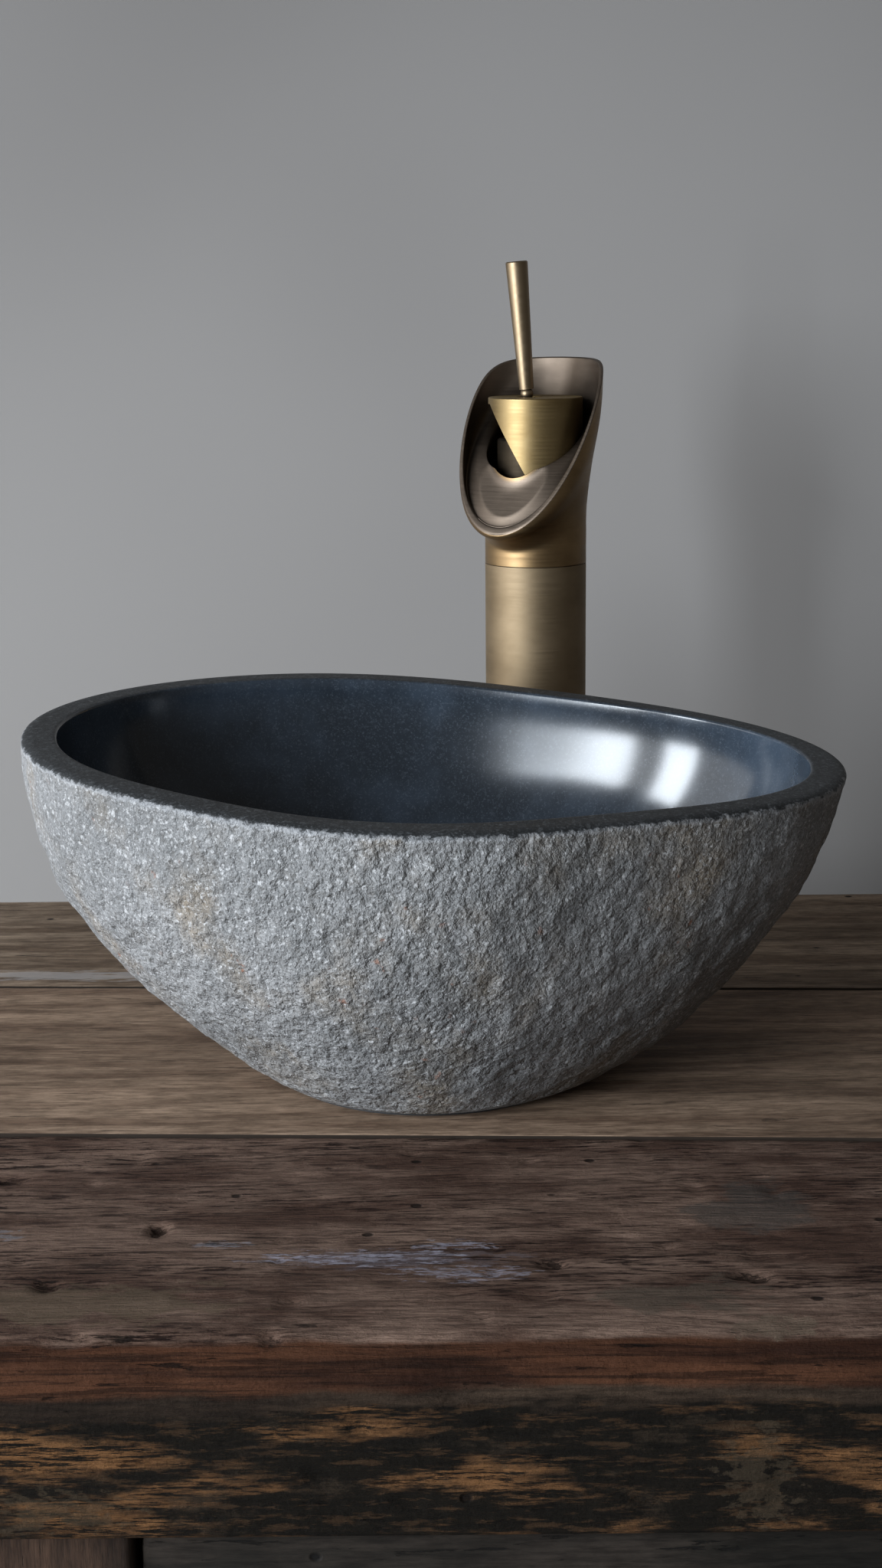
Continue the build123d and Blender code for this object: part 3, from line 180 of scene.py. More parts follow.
def tube_mesh(
    name: str,
    rows: np.ndarray,
    wrap_rows: bool = False,
    measures: dict[str, np.ndarray] | None = None,
) -> bpy.types.Object:
    """A closed object from rows of points that go round it: quads between rows, and a fan at each open end.

    The faces are turned outwards by the sign of the solid's volume, the sum of each triangle's a . (b x c).

    Args:
        name: the object's name.
        rows: points in millimetres, rows by columns by 3.
        wrap_rows: whether the last row meets the first, as on a ring.
        measures: numbers kept on the mesh by name, one for each point of the grid.

    Returns:
        The object, linked to the scene, at the origin.
    """
    count, around = rows.shape[:2]
    points = rows.reshape(-1, 3) * MM
    index = np.arange(count * around).reshape(count, around)
    upper = np.roll(index, -1, axis=0) if wrap_rows else index[1:]
    lower = index if wrap_rows else index[:-1]
    quads = np.stack([lower, np.roll(lower, -1, 1), np.roll(upper, -1, 1), upper], axis=-1).reshape(-1, 4)
    ends = []
    if not wrap_rows:
        poles = np.stack([rows[0].mean(0), rows[-1].mean(0)]) * MM
        first, last = len(points), len(points) + 1
        points = np.vstack([points, poles])
        ends.append(np.stack([np.roll(index[0], -1), index[0], np.full(around, first)], axis=-1))
        ends.append(np.stack([index[-1], np.roll(index[-1], -1), np.full(around, last)], axis=-1))
    corners = [quads[:, [0, 1, 2]], quads[:, [0, 2, 3]], *ends]
    a, b, c = (points[np.vstack(corners)[:, i]] for i in range(3))
    if np.einsum("ij,ij->", a, np.cross(b, c)) < 0:
        quads = quads[:, ::-1]
        ends = [fan[:, ::-1] for fan in ends]
    faces = quads.tolist() + [face for fan in ends for face in fan.tolist()]
    mesh = bpy.data.meshes.new(name)
    mesh.from_pydata(points.tolist(), [], faces)
    mesh.shade_smooth()
    for key, values in (measures or {}).items():
        flat = np.zeros(len(points), np.float32)
        flat[: count * around] = np.broadcast_to(values, (count, around)).ravel()
        if not wrap_rows:
            flat[-2:] = flat[0], flat[count * around - 1]
        mesh.attributes.new(key, "FLOAT", "POINT").data.foreach_set("value", flat)
    made = bpy.data.objects.new(name, mesh)
    bpy.context.scene.collection.objects.link(made)
    return made


def rounded_ring(corners: Sequence[Sequence[float]], radii: Sequence[float], step: float) -> np.ndarray:
    """Points round a polygon with arcs at its corners, evenly spaced along the outline.

    The arc at a right-angled corner starts a radius before it, ends a radius after it and bends inside it.

    Args:
        corners: the polygon's corners in order, all right angles.
        radii: each corner's radius.
        step: the wanted distance between points.

    Returns:
        The points, as an array of pairs.
    """
    places = np.asarray(corners, float)
    before = np.roll(places, 1, axis=0) - places
    after = np.roll(places, -1, axis=0) - places
    before /= np.linalg.norm(before, axis=1, keepdims=True)
    after /= np.linalg.norm(after, axis=1, keepdims=True)
    size = np.asarray(radii, float)[:, None, None]
    turn = np.linspace(0.0, math.pi / 2, 13)[None, :, None]
    arcs = places[:, None] + size * (
        before[:, None] * (1 - np.sin(turn)) + after[:, None] * (1 - np.cos(turn))
    )
    line = arcs.reshape(-1, 2)
    closed = np.vstack([line, line[:1]])
    run = np.concatenate([[0.0], np.cumsum(np.linalg.norm(np.diff(closed, axis=0), axis=1))])
    at = np.linspace(0.0, run[-1], int(run[-1] / step), endpoint=False)
    return np.stack([np.interp(at, run, closed[:, i]) for i in range(2)], axis=-1)


# ---------------------------------------------------------------- shader nodes
def paint(red: float, green: float, blue: float) -> tuple[float, float, float, float]:
    """A colour for a socket, from the 0 to 255 numbers that a screen shows.

    Args:
        red: the red number.
        green: the green number.
        blue: the blue number.

    Returns:
        The linear colour with a full alpha.
    """
    shown = np.array([red, green, blue]) / 255.0
    linear = np.where(shown <= 0.04045, shown / 12.92, ((shown + 0.055) / 1.055) ** 2.4)
    return (*linear.tolist(), 1.0)


class Graph:
    """A node tree that is written with one short call for each node."""

    def __init__(self, tree: bpy.types.NodeTree) -> None:
        """Keeps the tree that the calls add to."""
        self.tree = tree

    def node(self, kind: str, sockets: dict | None = None, **settings) -> bpy.types.Node:
        """Adds a node and fills or links its inputs.

        Args:
            kind: the node's type name.
            sockets: input name or number to a value, or to the output that feeds it.
            settings: the node's own properties.

        Returns:
            The node.
        """
        made = self.tree.nodes.new(kind)
        for key, value in settings.items():
            setattr(made, key, value)
        for key, value in (sockets or {}).items():
            if isinstance(value, Socket):
                self.tree.links.new(value, made.inputs[key])
            else:
                made.inputs[key].default_value = value
        return made

    def place(self) -> Socket:
        """The point on the object, in metres."""
        return self.node("ShaderNodeTexCoord").outputs["Object"]

    def measure(self, name: str) -> Socket:
        """A number kept on the mesh."""
        return self.node("ShaderNodeAttribute", attribute_name=name).outputs["Fac"]

    def mapped(self, vector: Socket, scale: Sequence[float], turn: Sequence[float] = (0, 0, 0)) -> Socket:
        """The vector, turned and scaled."""
        sockets = {"Vector": vector, "Scale": scale, "Rotation": turn}
        return self.node("ShaderNodeMapping", sockets).outputs["Vector"]

    def noise(self, vector: Socket, scale: float = 1.0, detail: float = 3.0, rough: float = 0.5) -> Socket:
        """Cloudy noise, about 0.25 to 0.75."""
        sockets = {"Vector": vector, "Scale": scale, "Detail": detail, "Roughness": rough}
        return self.node("ShaderNodeTexNoise", sockets).outputs["Fac"]

    def stretched(
        self,
        vector: Socket,
        sizes: Sequence[float],
        detail: float,
        rough: float = 0.5,
        turn: Sequence[float] = (0, 0, 0),
    ) -> Socket:
        """Cloudy noise with its own scale along each axis of the vector, which is turned first."""
        return self.noise(self.mapped(vector, sizes, turn), 1.0, detail, rough)

    def math(self, kind: str, first: Socket | float, second: Socket | float) -> Socket:
        """One sum on numbers."""
        return self.node("ShaderNodeMath", {0: first, 1: second}, operation=kind).outputs[0]

    def plus(self, first: Socket | float, second: Socket | float) -> Socket:
        """The sum of two numbers."""
        return self.math("ADD", first, second)

    def less(self, first: Socket | float, second: Socket | float) -> Socket:
        """The first number less the second."""
        return self.math("SUBTRACT", first, second)

    def times(self, first: Socket | float, second: Socket | float) -> Socket:
        """The product of two numbers."""
        return self.math("MULTIPLY", first, second)

    def vectors(self, kind: str, first: Socket, second: Socket) -> Socket:
        """One sum on vectors."""
        return self.node("ShaderNodeVectorMath", {0: first, 1: second}, operation=kind).outputs[0]

    def step(self, value: Socket, start: float, end: float, low: float = 0.0, high: float = 1.0) -> Socket:
        """A soft step of a value, from low at start to high at end."""
        sockets = {"Value": value, "From Min": start, "From Max": end, "To Min": low, "To Max": high}
        return self.node("ShaderNodeMapRange", sockets, interpolation_type="SMOOTHSTEP").outputs["Result"]

    def mix(
        self, share: Socket | float, first: Socket | tuple, second: Socket | tuple, kind: str = "MIX"
    ) -> Socket:
        """Two colours blended by a share."""
        sockets = {0: share, 6: first, 7: second}
        return self.node("ShaderNodeMix", sockets, data_type="RGBA", blend_type=kind).outputs[2]

    def tinted(self, tone: Socket, other: Socket) -> Socket:
        """A colour times another."""
        return self.mix(1.0, tone, other, "MULTIPLY")

    def shaded(
        self, tone: Socket, value: Socket, start: float, end: float, low: Colour, high: Colour
    ) -> Socket:
        """A colour times a shade, which steps from low where the value is start to high where it is end."""
        return self.tinted(tone, self.mix(self.step(value, start, end), (*low, 1), (*high, 1)))

    def cloudy(self, value: Socket, start: float, end: float, low: Colour, high: Colour) -> Socket:
        """A colour that goes from low where the value is start to high where it is end."""
        return self.mix(self.step(value, start, end), paint(*low), paint(*high))

    def laid(self, tone: Socket, mask: Socket, share: float, colour: Colour) -> Socket:
        """A colour with another laid over it, as thick as the mask times the share."""
        return self.mix(self.times(mask, share), tone, paint(*colour))

    def axis(self, vector: Socket, name: str) -> Socket:
        """One of a vector's numbers."""
        return self.node("ShaderNodeSeparateXYZ", {0: vector}).outputs[name]

    def bump(self, height: Socket, depth: float) -> Socket:
        """A normal that is tipped by a height map of a depth in metres."""
        sockets = {"Height": height, "Distance": depth, "Strength": 1.0}
        return self.node("ShaderNodeBump", sockets).outputs["Normal"]

    def effect(self, tree: bpy.types.NodeTree, sockets: dict) -> bpy.types.Node:
        """One of the shared effects, with its inputs."""
        return self.node("ShaderNodeGroup", sockets, node_tree=tree)


def new_effect(
    name: str, inputs: dict[str, str], outputs: Sequence[str]
) -> tuple[bpy.types.NodeTree, Graph, dict]:
    """Starts a node group.

    Args:
        name: the group's name.
        inputs: input name to its kind, Float or Vector.
        outputs: the names of its numbers.

    Returns:
        The group, its graph, and its inputs by name.
    """
    tree = bpy.data.node_groups.new(name, "ShaderNodeTree")
    for key, kind in inputs.items():
        tree.interface.new_socket(name=key, in_out="INPUT", socket_type=f"NodeSocket{kind}")
    for key in outputs:
        tree.interface.new_socket(name=key, in_out="OUTPUT", socket_type="NodeSocketFloat")
    graph = Graph(tree)
    entry = graph.node("NodeGroupInput")
    return tree, graph, {key: entry.outputs[key] for key in inputs}


def end_effect(graph: Graph, outputs: dict[str, Socket]) -> None:
    """Feeds a node group's outputs."""
    graph.node("NodeGroupOutput", outputs)


class Effects:
    """The effects that several finishes share, each built once as a node group."""

    def __init__(self) -> None:
        """Builds the four groups."""
        self.timber = self.make_timber()
        self.stain = self.make_stain()
        self.speckle = self.make_speckle()
        self.brushing = self.make_brushing()

    def make_timber(self) -> bpy.types.NodeTree:
        """Grain that runs along the vector's X: broad bands, fine fibres, splits and small holes."""
        inputs = {"Vector": "Vector", "Weathering": "Float"}
        tree, g, given = new_effect("timber_grain", inputs, ["Bands", "Fibres", "Marks", "Height"])
        vector = given["Vector"]
        drift = g.stretched(vector, (2.5, 9, 9), 2.0)
        sideways = g.node("ShaderNodeCombineXYZ", {1: g.times(drift, 0.05)}).outputs[0]
        bent = g.vectors("ADD", vector, sideways)
        bands = g.stretched(bent, (8, 78, 78), 5.0, 0.62)
        fibres = g.stretched(bent, (56, 700, 700), 5.0, 0.72)
        lines = g.stretched(bent, (30, 290, 290), 5.0, 0.7)
        splits = g.step(lines, 0.37, 0.31)
        cells = g.node("ShaderNodeTexVoronoi", {"Vector": g.mapped(vector, (60, 75, 75)), "Scale": 1.0})
        chosen = g.step(g.axis(cells.outputs["Color"], "X"), 0.9, 0.93)
        holes = g.times(g.step(cells.outputs["Distance"], 0.16, 0.08), chosen)
        marks = g.math("MAXIMUM", g.times(splits, given["Weathering"]), holes)
        raised = g.plus(g.times(fibres, 0.5), g.times(bands, 0.5))
        height = g.less(raised, g.times(marks, 0.6))
        end_effect(g, {"Bands": bands, "Fibres": fibres, "Marks": marks, "Height": height})
        return tree

    def make_stain(self) -> bpy.types.NodeTree:
        """A broken patch round a centre: 1 less the distance in sizes, plus drawn-out noise, stepped."""
        inputs = dict.fromkeys(("Vector", "Centre", "Size", "Breakup", "Fineness"), "Vector")
        tree, g, given = new_effect("stain", {**inputs, "Breakup": "Float"}, ["Mask"])
        away = g.vectors("SUBTRACT", given["Vector"], given["Centre"])
        shares = g.vectors("DIVIDE", away, given["Size"])
        far = g.node("ShaderNodeVectorMath", {0: shares}, operation="LENGTH").outputs["Value"]
        fine = g.noise(g.vectors("MULTIPLY", given["Vector"], given["Fineness"]), 1.0, 5.0, 0.65)
        rough = g.times(g.less(fine, 0.5), given["Breakup"])
        broken = g.step(g.plus(g.less(1.0, far), rough), 0.3, 0.6)
        end_effect(g, {"Mask": g.times(broken, g.step(far, 1.25, 0.85))})
        return tree

    def make_speckle(self) -> bpy.types.NodeTree:
        """Grains of stone: light and dark specks, pits and a fine height."""
        inputs = {"Vector": "Vector", "Fineness": "Float"}
        tree, g, given = new_effect("speckle", inputs, ["Light", "Dark", "Height"])
        sockets = {0: given["Vector"], "Scale": given["Fineness"]}
        vector = g.node("ShaderNodeVectorMath", sockets, operation="SCALE").outputs[0]
        coarse = g.noise(vector, 1.0, 6.0, 0.68)
        grains = g.node("ShaderNodeTexVoronoi", {"Vector": vector, "Scale": 1.7}, feature="F1")
        tone = g.axis(grains.outputs["Color"], "X")
        light = g.times(g.step(tone, 0.62, 0.95), g.step(coarse, 0.42, 0.62))
        dark = g.times(g.step(tone, 0.30, 0.05), g.step(coarse, 0.60, 0.42))
        height = g.less(coarse, g.times(grains.outputs["Distance"], 0.25))
        end_effect(g, {"Light": light, "Dark": dark, "Height": height})
        return tree

    def make_brushing(self) -> bpy.types.NodeTree:
        """Fine scratches that run round an upright axis, and slow cloudy tarnish."""
        inputs = {"Vector": "Vector", "Lines": "Float"}
        tree, g, given = new_effect("brushing", inputs, ["Streaks", "Tarnish"])
        stretch = g.node("ShaderNodeCombineXYZ", {0: 22.0, 1: 22.0, 2: given["Lines"]}).outputs[0]
        streaks = g.noise(g.vectors("MULTIPLY", given["Vector"], stretch), 1.0, 4.0, 0.7)
        tarnish = g.stretched(given["Vector"], (30, 30, 45), 4.0, 0.6)
        end_effect(g, {"Streaks": streaks, "Tarnish": tarnish})
        return tree


# ---------------------------------------------------------------- finishes
class Grain(Enum):
    """The way the timber's fibres run, as the turn that brings them along X."""

    ACROSS = (0.0, 0.0, 0.0)
    DEEP = (0.0, 0.0, -math.pi / 2)
    UPRIGHT = (0.0, math.pi / 2, 0.0)


def new_material(name: str) -> tuple[bpy.types.Material, Graph, bpy.types.Node]:
    """Starts a material.

    Args:
        name: the material's name.

    Returns:
        The material, its graph, and its shader.
    """
    made = bpy.data.materials.new(name)
    made.use_nodes = True
    shader = made.node_tree.nodes["Principled BSDF"]
    return made, Graph(made.node_tree), shader


def feed(graph: Graph, shader: bpy.types.Node, sockets: dict[str, Socket]) -> None:
    """Links outputs to a shader's inputs by name."""
    for key, value in sockets.items():
        graph.tree.links.new(value, shader.inputs[key])


@dataclass(frozen=True)
class Patch:
    """A stain: where it is, its reach, what colour it leaves, and how thick and how broken it is."""

    centre: tuple[float, float, float]
    size: tuple[float, float, float]
    colour: Colour
    share: float
    breakup: float = 2.6
    fineness: tuple[float, float, float] = (60, 120, 120)
    brushed: bool = False

    def over(
        self, tone: Socket, g: Graph, effects: Effects, place: Socket, strokes: Socket | None = None
    ) -> Socket:
        """Lays the stain over a colour.

        Args:
            tone: the colour so far.
            g: the material's graph.
            effects: the shared node groups.
            place: the point on the piece.
            strokes: the brush strokes that cut a brushed stain up.

        Returns:
            The colour with the stain.
        """
        sockets = {"Vector": place, "Centre": self.centre, "Size": self.size}
        sockets |= {"Breakup": self.breakup, "Fineness": self.fineness}
        mask = g.times(g.effect(effects.stain, sockets).outputs["Mask"], self.share)
        if self.brushed:
            mask = g.times(mask, strokes)
        return g.mix(mask, tone, paint(*self.colour))


@dataclass(frozen=True)
class Timber:
    """Old planed or sawn board: bands between two tones, darker fibres, splits and holes.

    The seam's top is the height, in metres, under which the board's sides are darkened in a thin band: dirt
    and painted shade in the seam.
    """

    name: str
    pale: Colour
    deep: Colour
    mark: Colour = (32, 26, 22)
    roughness: float = 0.72
    weathering: float = 0.8
    relief: float = 0.5
    smear: Patch | None = None
    seam_top: float = 0.0

    def material(self, effects: Effects, grain: Grain = Grain.ACROSS) -> bpy.types.Material:
        """Builds the material.

        Args:
            effects: the shared node groups.
            grain: the way the fibres run.

        Returns:
            The material.
        """
        made, g, shader = new_material(f"{self.name}_{grain.name.lower()}")
        place = g.place()
        vector = g.mapped(place, (1, 1, 1), grain.value)
        timber = g.effect(effects.timber, {"Vector": vector, "Weathering": self.weathering})
        clouds = g.stretched(vector, (7, 24, 24), 5.0, 0.62)
        tone = g.cloudy(timber.outputs["Bands"], 0.36, 0.64, self.deep, self.pale)
        tone = g.shaded(tone, clouds, 0.35, 0.66, (0.72, 0.70, 0.68), (1.1, 1.08, 1.06))
        mottle = g.stretched(vector, (70, 190, 190), 7.0, 0.76)
        tone = g.shaded(tone, mottle, 0.36, 0.6, (0.74, 0.72, 0.7), (1.12, 1.12, 1.11))
        tone = g.shaded(tone, timber.outputs["Fibres"], 0.32, 0.62, (0.58, 0.56, 0.54), (1.16, 1.15, 1.14))
        tone = g.mix(timber.outputs["Marks"], tone, paint(*self.mark))
        if self.smear:
            tone = self.smear.over(tone, g, effects, place)
        if self.seam_top:
            # a dark band a few millimetres under the top, on the board's sides: dirt and painted shade in
            # the seams between boards
            upward = g.axis(place, "Z")
            seam_dirt_and_shade = g.step(upward, self.seam_top - 0.00002, self.seam_top - 0.0004)
            seam_dirt_and_shade = g.times(seam_dirt_and_shade, g.step(upward, self.seam_top - 0.006, self.seam_top - 0.0035))
            tone = g.mix(seam_dirt_and_shade, tone, paint(*(0.4 * value for value in self.deep)))
        shader.inputs["Specular IOR Level"].default_value = 0.13
        rough = g.step(timber.outputs["Fibres"], 0.3, 0.7, self.roughness - 0.1, self.roughness + 0.12)
        normal = g.bump(timber.outputs["Height"], 0.0012 * self.relief)
        feed(g, shader, {"Base Color": tone, "Roughness": rough, "Normal": normal})
        return made


@dataclass(frozen=True)
class BeamTimber:
    """The old front beam: a dusty brown top, a red-brown worn arris, and a blackened front."""

    name: str
    front: float
    top: float
    patches: tuple[Patch, ...] = ()

    def material(self, effects: Effects) -> bpy.types.Material:
        """Builds the material: the top, the arris, a dusty band and the front, by where a point lies.

        Args:
            effects: the shared node groups.

        Returns:
            The material.
        """
        made, g, shader = new_material(self.name)
        place = g.place()
        timber = g.effect(effects.timber, {"Vector": place, "Weathering": 1.0})
        fibres = timber.outputs["Fibres"]
        below = g.less(self.top, g.axis(place, "Z"))
        behind = g.less(g.axis(place, "Y"), self.front)
        wander = g.stretched(place, (9, 40, 40), 5.0, 0.65)
        shift = g.times(g.less(wander, 0.5), 0.03)
        fine = g.mix(g.step(fibres, 0.32, 0.64), (0.58, 0.55, 0.53, 1), (1.24, 1.22, 1.2, 1))
        streaks = g.stretched(place, (64, 660, 320), 6.0, 0.74)
        drawn = g.stretched(place, (58, 760, 760), 5.0, 0.74)

        arris = g.cloudy(timber.outputs["Bands"], 0.36, 0.64, (44, 26, 18), (80, 51, 35))
        lines = g.stretched(place, (16, 560, 560), 5.0, 0.7)
        arris = g.laid(arris, g.step(lines, 0.52, 0.4), 0.7, (24, 14, 9))
        dust = g.cloudy(wander, 0.36, 0.64, (33, 26, 21), (60, 49, 40))
        dust = g.tinted(dust, fine)

        on_front = g.step(g.plus(below, shift), 0.0215, 0.0255)
        on_dust = g.step(g.plus(below, g.times(shift, 0.5)), 0.0155, 0.0185)
        on_top = g.step(g.less(behind, g.times(shift, 0.3)), 0.0065, 0.0095)
        skin = g.mix(on_dust, arris, dust)
        skin = g.mix(on_front, skin, self.blackened(g, place, drawn, fine))
        skin = g.mix(on_top, skin, self.dusty(g, place, streaks, fine))
        skin = self.spoiled(g, effects, place, skin)
        # the bottom edge and underside are painted dark: a painted shadow line under the beam
        skin = g.mix(g.step(below, 0.0675, 0.0679), skin, paint(40, 32, 26))
        skin = g.laid(skin, timber.outputs["Marks"], 0.85, (16, 12, 10))
        shader.inputs["Specular IOR Level"].default_value = 0.08
        hollow = g.measure("hollow")
        chewed = g.stretched(place, (210, 520, 400), 6.0, 0.75)
        chewed = g.times(g.less(chewed, 0.5), 7.0)
        # the pits' cores: sunk by the bump and painted dark, a painted shade inside the pits
        pit_bump_and_shade = g.step(g.plus(hollow, chewed), 1.45, 1.75)
        pit_bump_and_shade = g.times(pit_bump_and_shade, g.step(hollow, 0.1, 0.35))
        skin = g.laid(skin, pit_bump_and_shade, 0.75, (27, 19, 15))
        crumbs = g.noise(place, 240.0, 6.0, 0.72)
        height = g.plus(timber.outputs["Height"], g.times(drawn, 0.5))
        height = g.plus(height, g.times(g.plus(streaks, crumbs), 0.6))
        height = g.less(height, g.times(pit_bump_and_shade, 0.55))
        rough = g.step(fibres, 0.3, 0.7, 0.66, 0.92)
        feed(g, shader, {"Base Color": skin, "Roughness": rough, "Normal": g.bump(height, 0.0022)})
        return made

    def dusty(self, g: Graph, place: Socket, streaks: Socket, fine: Socket) -> Socket:
        """The top's colour: brown clouds with short dark streaks, which crowd in some zones.

        Args:
            g: the material's graph.
            place: the point on the beam.
            streaks: short streaks along the grain.
            fine: the fibres' light and shade.

        Returns:
            The colour.
        """
        clouds = g.stretched(place, (14, 34, 34), 6.0, 0.7)
        tone = g.cloudy(clouds, 0.36, 0.64, (80, 61, 52), (126, 105, 93))
        crowded = g.step(g.stretched(place, (9, 26, 26), 4.0, 0.6), 0.38, 0.6)
        share = g.times(g.step(streaks, 0.49, 0.42), g.plus(0.36, g.times(crowded, 0.6)))
        tone = g.mix(share, tone, paint(30, 19, 16))
        return g.tinted(tone, fine)

    def blackened(self, g: Graph, place: Socket, drawn: Socket, fine: Socket) -> Socket:
        """The front's colour: black, with tan islands and flecks that fine dark lines cut up.

        Args:
            g: the material's graph.
            place: the point on the beam.
            drawn: fine lines along the grain.
            fine: the fibres' light and shade.

        Returns:
            The colour.
        """
        islands = g.stretched(place, (13, 62, 62), 6.0, 0.66)
        flecks = g.stretched(place, (44, 260, 260), 6.0, 0.7)
        bare = g.times(g.step(islands, 0.47, 0.56), g.step(drawn, 0.44, 0.52))
        bare = g.math("MAXIMUM", bare, g.times(g.step(flecks, 0.53, 0.6), 0.7))
        tan = g.cloudy(islands, 0.46, 0.66, (58, 43, 30), (106, 75, 48))
        tone = g.mix(bare, paint(19, 16, 12), tan)
        crust = g.stretched(place, (30, 70, 70), 7.0, 0.74)
        tone = g.laid(tone, g.step(crust, 0.53, 0.64), 0.55, (52, 43, 34))
        return g.tinted(tone, fine)

    def spoiled(self, g: Graph, effects: Effects, place: Socket, tone: Socket) -> Socket:
        """Adds the old paint smears, the grey worn hollow and the crusts.

        Args:
            g: the material's graph.
            effects: the shared node groups.
            place: the point on the beam.
            tone: the colour so far.

        Returns:
            The colour with the stains.
        """
        strokes = g.step(g.stretched(place, (170, 900, 500), 4.0, 0.7, (0, 0, -0.45)), 0.42, 0.56)
        for patch in self.patches:
            tone = patch.over(tone, g, effects, place, strokes)
        return tone


BEAM_PATCHES = (
    Patch((-0.136, -0.2045, 0.74), (0.048, 0.0085, 0.03), (166, 164, 178), 0.85, 3.2, (90, 420, 420), True),
    Patch((-0.102, -0.194, 0.74), (0.022, 0.005, 0.03), (160, 158, 172), 0.8, 4.0, (120, 420, 420), True),
    Patch((-0.102, -0.217, 0.74), (0.03, 0.008, 0.03), (156, 154, 168), 0.6, 4.2, (120, 420, 420), True),
    Patch((-0.186, -0.192, 0.74), (0.014, 0.004, 0.03), (140, 138, 146), 0.7, 3.6, (120, 420, 420), True),
    Patch((-0.268, -0.183, 0.74), (0.014, 0.008, 0.03), (130, 128, 132), 0.6, 3.0, (150, 300, 300)),
    Patch((-0.002, -0.256, 0.74), (0.022, 0.010, 0.03), (104, 92, 78), 0.5, 2.4, (140, 180, 180)),
    Patch((-0.125, -0.205, 0.74), (0.06, 0.011, 0.03), (112, 106, 112), 0.35, 3.0, (60, 200, 200)),
    Patch((0.006, -0.163, 0.74), (0.036, 0.034, 0.03), (74, 70, 66), 0.6, 2.4, (40, 70, 70)),
    Patch((-0.035, -0.237, 0.74), (0.045, 0.02, 0.03), (84, 76, 66), 0.6, 2.6, (40, 70, 70)),
    Patch((-0.225, -0.24, 0.74), (0.07, 0.022, 0.03), (100, 86, 70), 0.6, 2.8, (50, 90, 90)),
    Patch((0.2, -0.2, 0.74), (0.09, 0.016, 0.03), (140, 136, 136), 0.7, 3.4, (90, 300, 300), True),
    Patch((0.29, -0.235, 0.74), (0.05, 0.02, 0.03), (96, 88, 78), 0.7),
    Patch((-0.006, -0.27, 0.692), (0.016, 0.03, 0.024), (66, 56, 44), 0.5, 4.5, (150, 260, 260)),
    Patch((-0.236, -0.27, 0.682), (0.034, 0.03, 0.01), (64, 54, 42), 0.5, 4.5, (110, 260, 260)),
    Patch((0.2, -0.27, 0.69), (0.03, 0.03, 0.018), (62, 54, 44), 0.5, 4.5, (110, 260, 260)),
)


@dataclass(frozen=True)
class RiverStone:
    """A boulder that is rough outside, honed on its rim and polished in its bowl."""

    name: str
    rough_stone: Colour = (122, 122, 122)
    warm_stone: Colour = (122, 110, 94)
    honed_stone: Colour = (33, 35, 37)
    polished_stone: Colour = (56, 66, 78)

    def material(self, effects: Effects) -> bpy.types.Material:
        """Builds the material, which reads how far over the rim a point is, in millimetres.

        Args:
            effects: the shared node groups.

        Returns:
            The material.
        """
        made, g, shader = new_material(self.name)
        place = g.place()
        across = g.measure("across_rim")
        grain = g.effect(effects.speckle, {"Vector": place, "Fineness": 430.0})
        fine = g.effect(effects.speckle, {"Vector": place, "Fineness": 1000.0})
        patches = g.noise(place, 17.0, 4.0, 0.6)
        warmth = g.noise(g.mapped(place, (1, 1, 0.7)), 26.0, 5.0, 0.65)

        outside = g.cloudy(warmth, 0.46, 0.78, self.rough_stone, self.warm_stone)
        outside = g.shaded(outside, patches, 0.34, 0.66, (0.78, 0.79, 0.8), (1.16, 1.16, 1.17))
        outside = g.laid(outside, grain.outputs["Light"], 0.8, (182, 182, 183))
        outside = g.laid(outside, grain.outputs["Dark"], 0.6, (84, 81, 78))
        outside = g.laid(outside, fine.outputs["Light"], 0.5, (184, 184, 185))
        outside = g.laid(outside, fine.outputs["Dark"], 0.45, (84, 82, 80))
        rust = g.times(g.step(g.noise(place, 150.0, 3.0, 0.6), 0.66, 0.74), g.step(warmth, 0.45, 0.6))
        outside = g.laid(outside, rust, 0.7, (128, 78, 52))

        honed = g.cloudy(patches, 0.35, 0.65, (22, 24, 26), self.honed_stone)
        honed = g.laid(honed, fine.outputs["Light"], 0.3, (126, 130, 134))
        honed = g.laid(honed, fine.outputs["Dark"], 0.5, (24, 26, 28))
        honed = g.laid(honed, grain.outputs["Light"], 0.4, (100, 103, 106))
        polished = g.cloudy(patches, 0.35, 0.68, (38, 44, 51), self.polished_stone)
        polished = g.laid(polished, fine.outputs["Light"], 0.3, (98, 108, 118))
        polished = g.laid(polished, grain.outputs["Light"], 0.15, (92, 100, 110))

        ragged = g.times(g.less(g.noise(place, 260.0, 4.0, 0.7), 0.5), 5.5)
        edge = g.plus(across, ragged)
        on_rim = g.step(edge, -0.9, 0.5)
        chips = g.times(g.step(edge, -1.6, -0.6), g.step(edge, 0.7, 0.0))
        in_bowl = g.step(across, 13.6, 15.4)
        tone = g.mix(on_rim, outside, honed)
        tone = g.laid(tone, chips, 0.35, (170, 172, 176))
        tone = g.mix(in_bowl, tone, polished)
        rough = g.less(0.88, g.times(on_rim, 0.24))
        rough = g.less(rough, g.times(in_bowl, 0.49))
        rough = g.plus(rough, g.times(g.less(patches, 0.5), 0.12))
        hewn = g.stretched(place, (205, 205, 175), 4.0, 0.6, (0.35, 0.5, 0))
        relief = g.times(g.less(hewn, 0.5), 2.6)
        relief = g.plus(relief, g.times(grain.outputs["Height"], 0.42))
        relief = g.plus(relief, g.times(fine.outputs["Height"], 0.12))
        relief = g.less(relief, 0.27)
        keep = g.less(1.0, g.times(on_rim, 0.9))
        height = g.times(relief, g.times(keep, g.less(1.0, in_bowl)))
        feed(g, shader, {"Base Color": tone, "Roughness": rough, "Normal": g.bump(height, 0.002)})
        return made


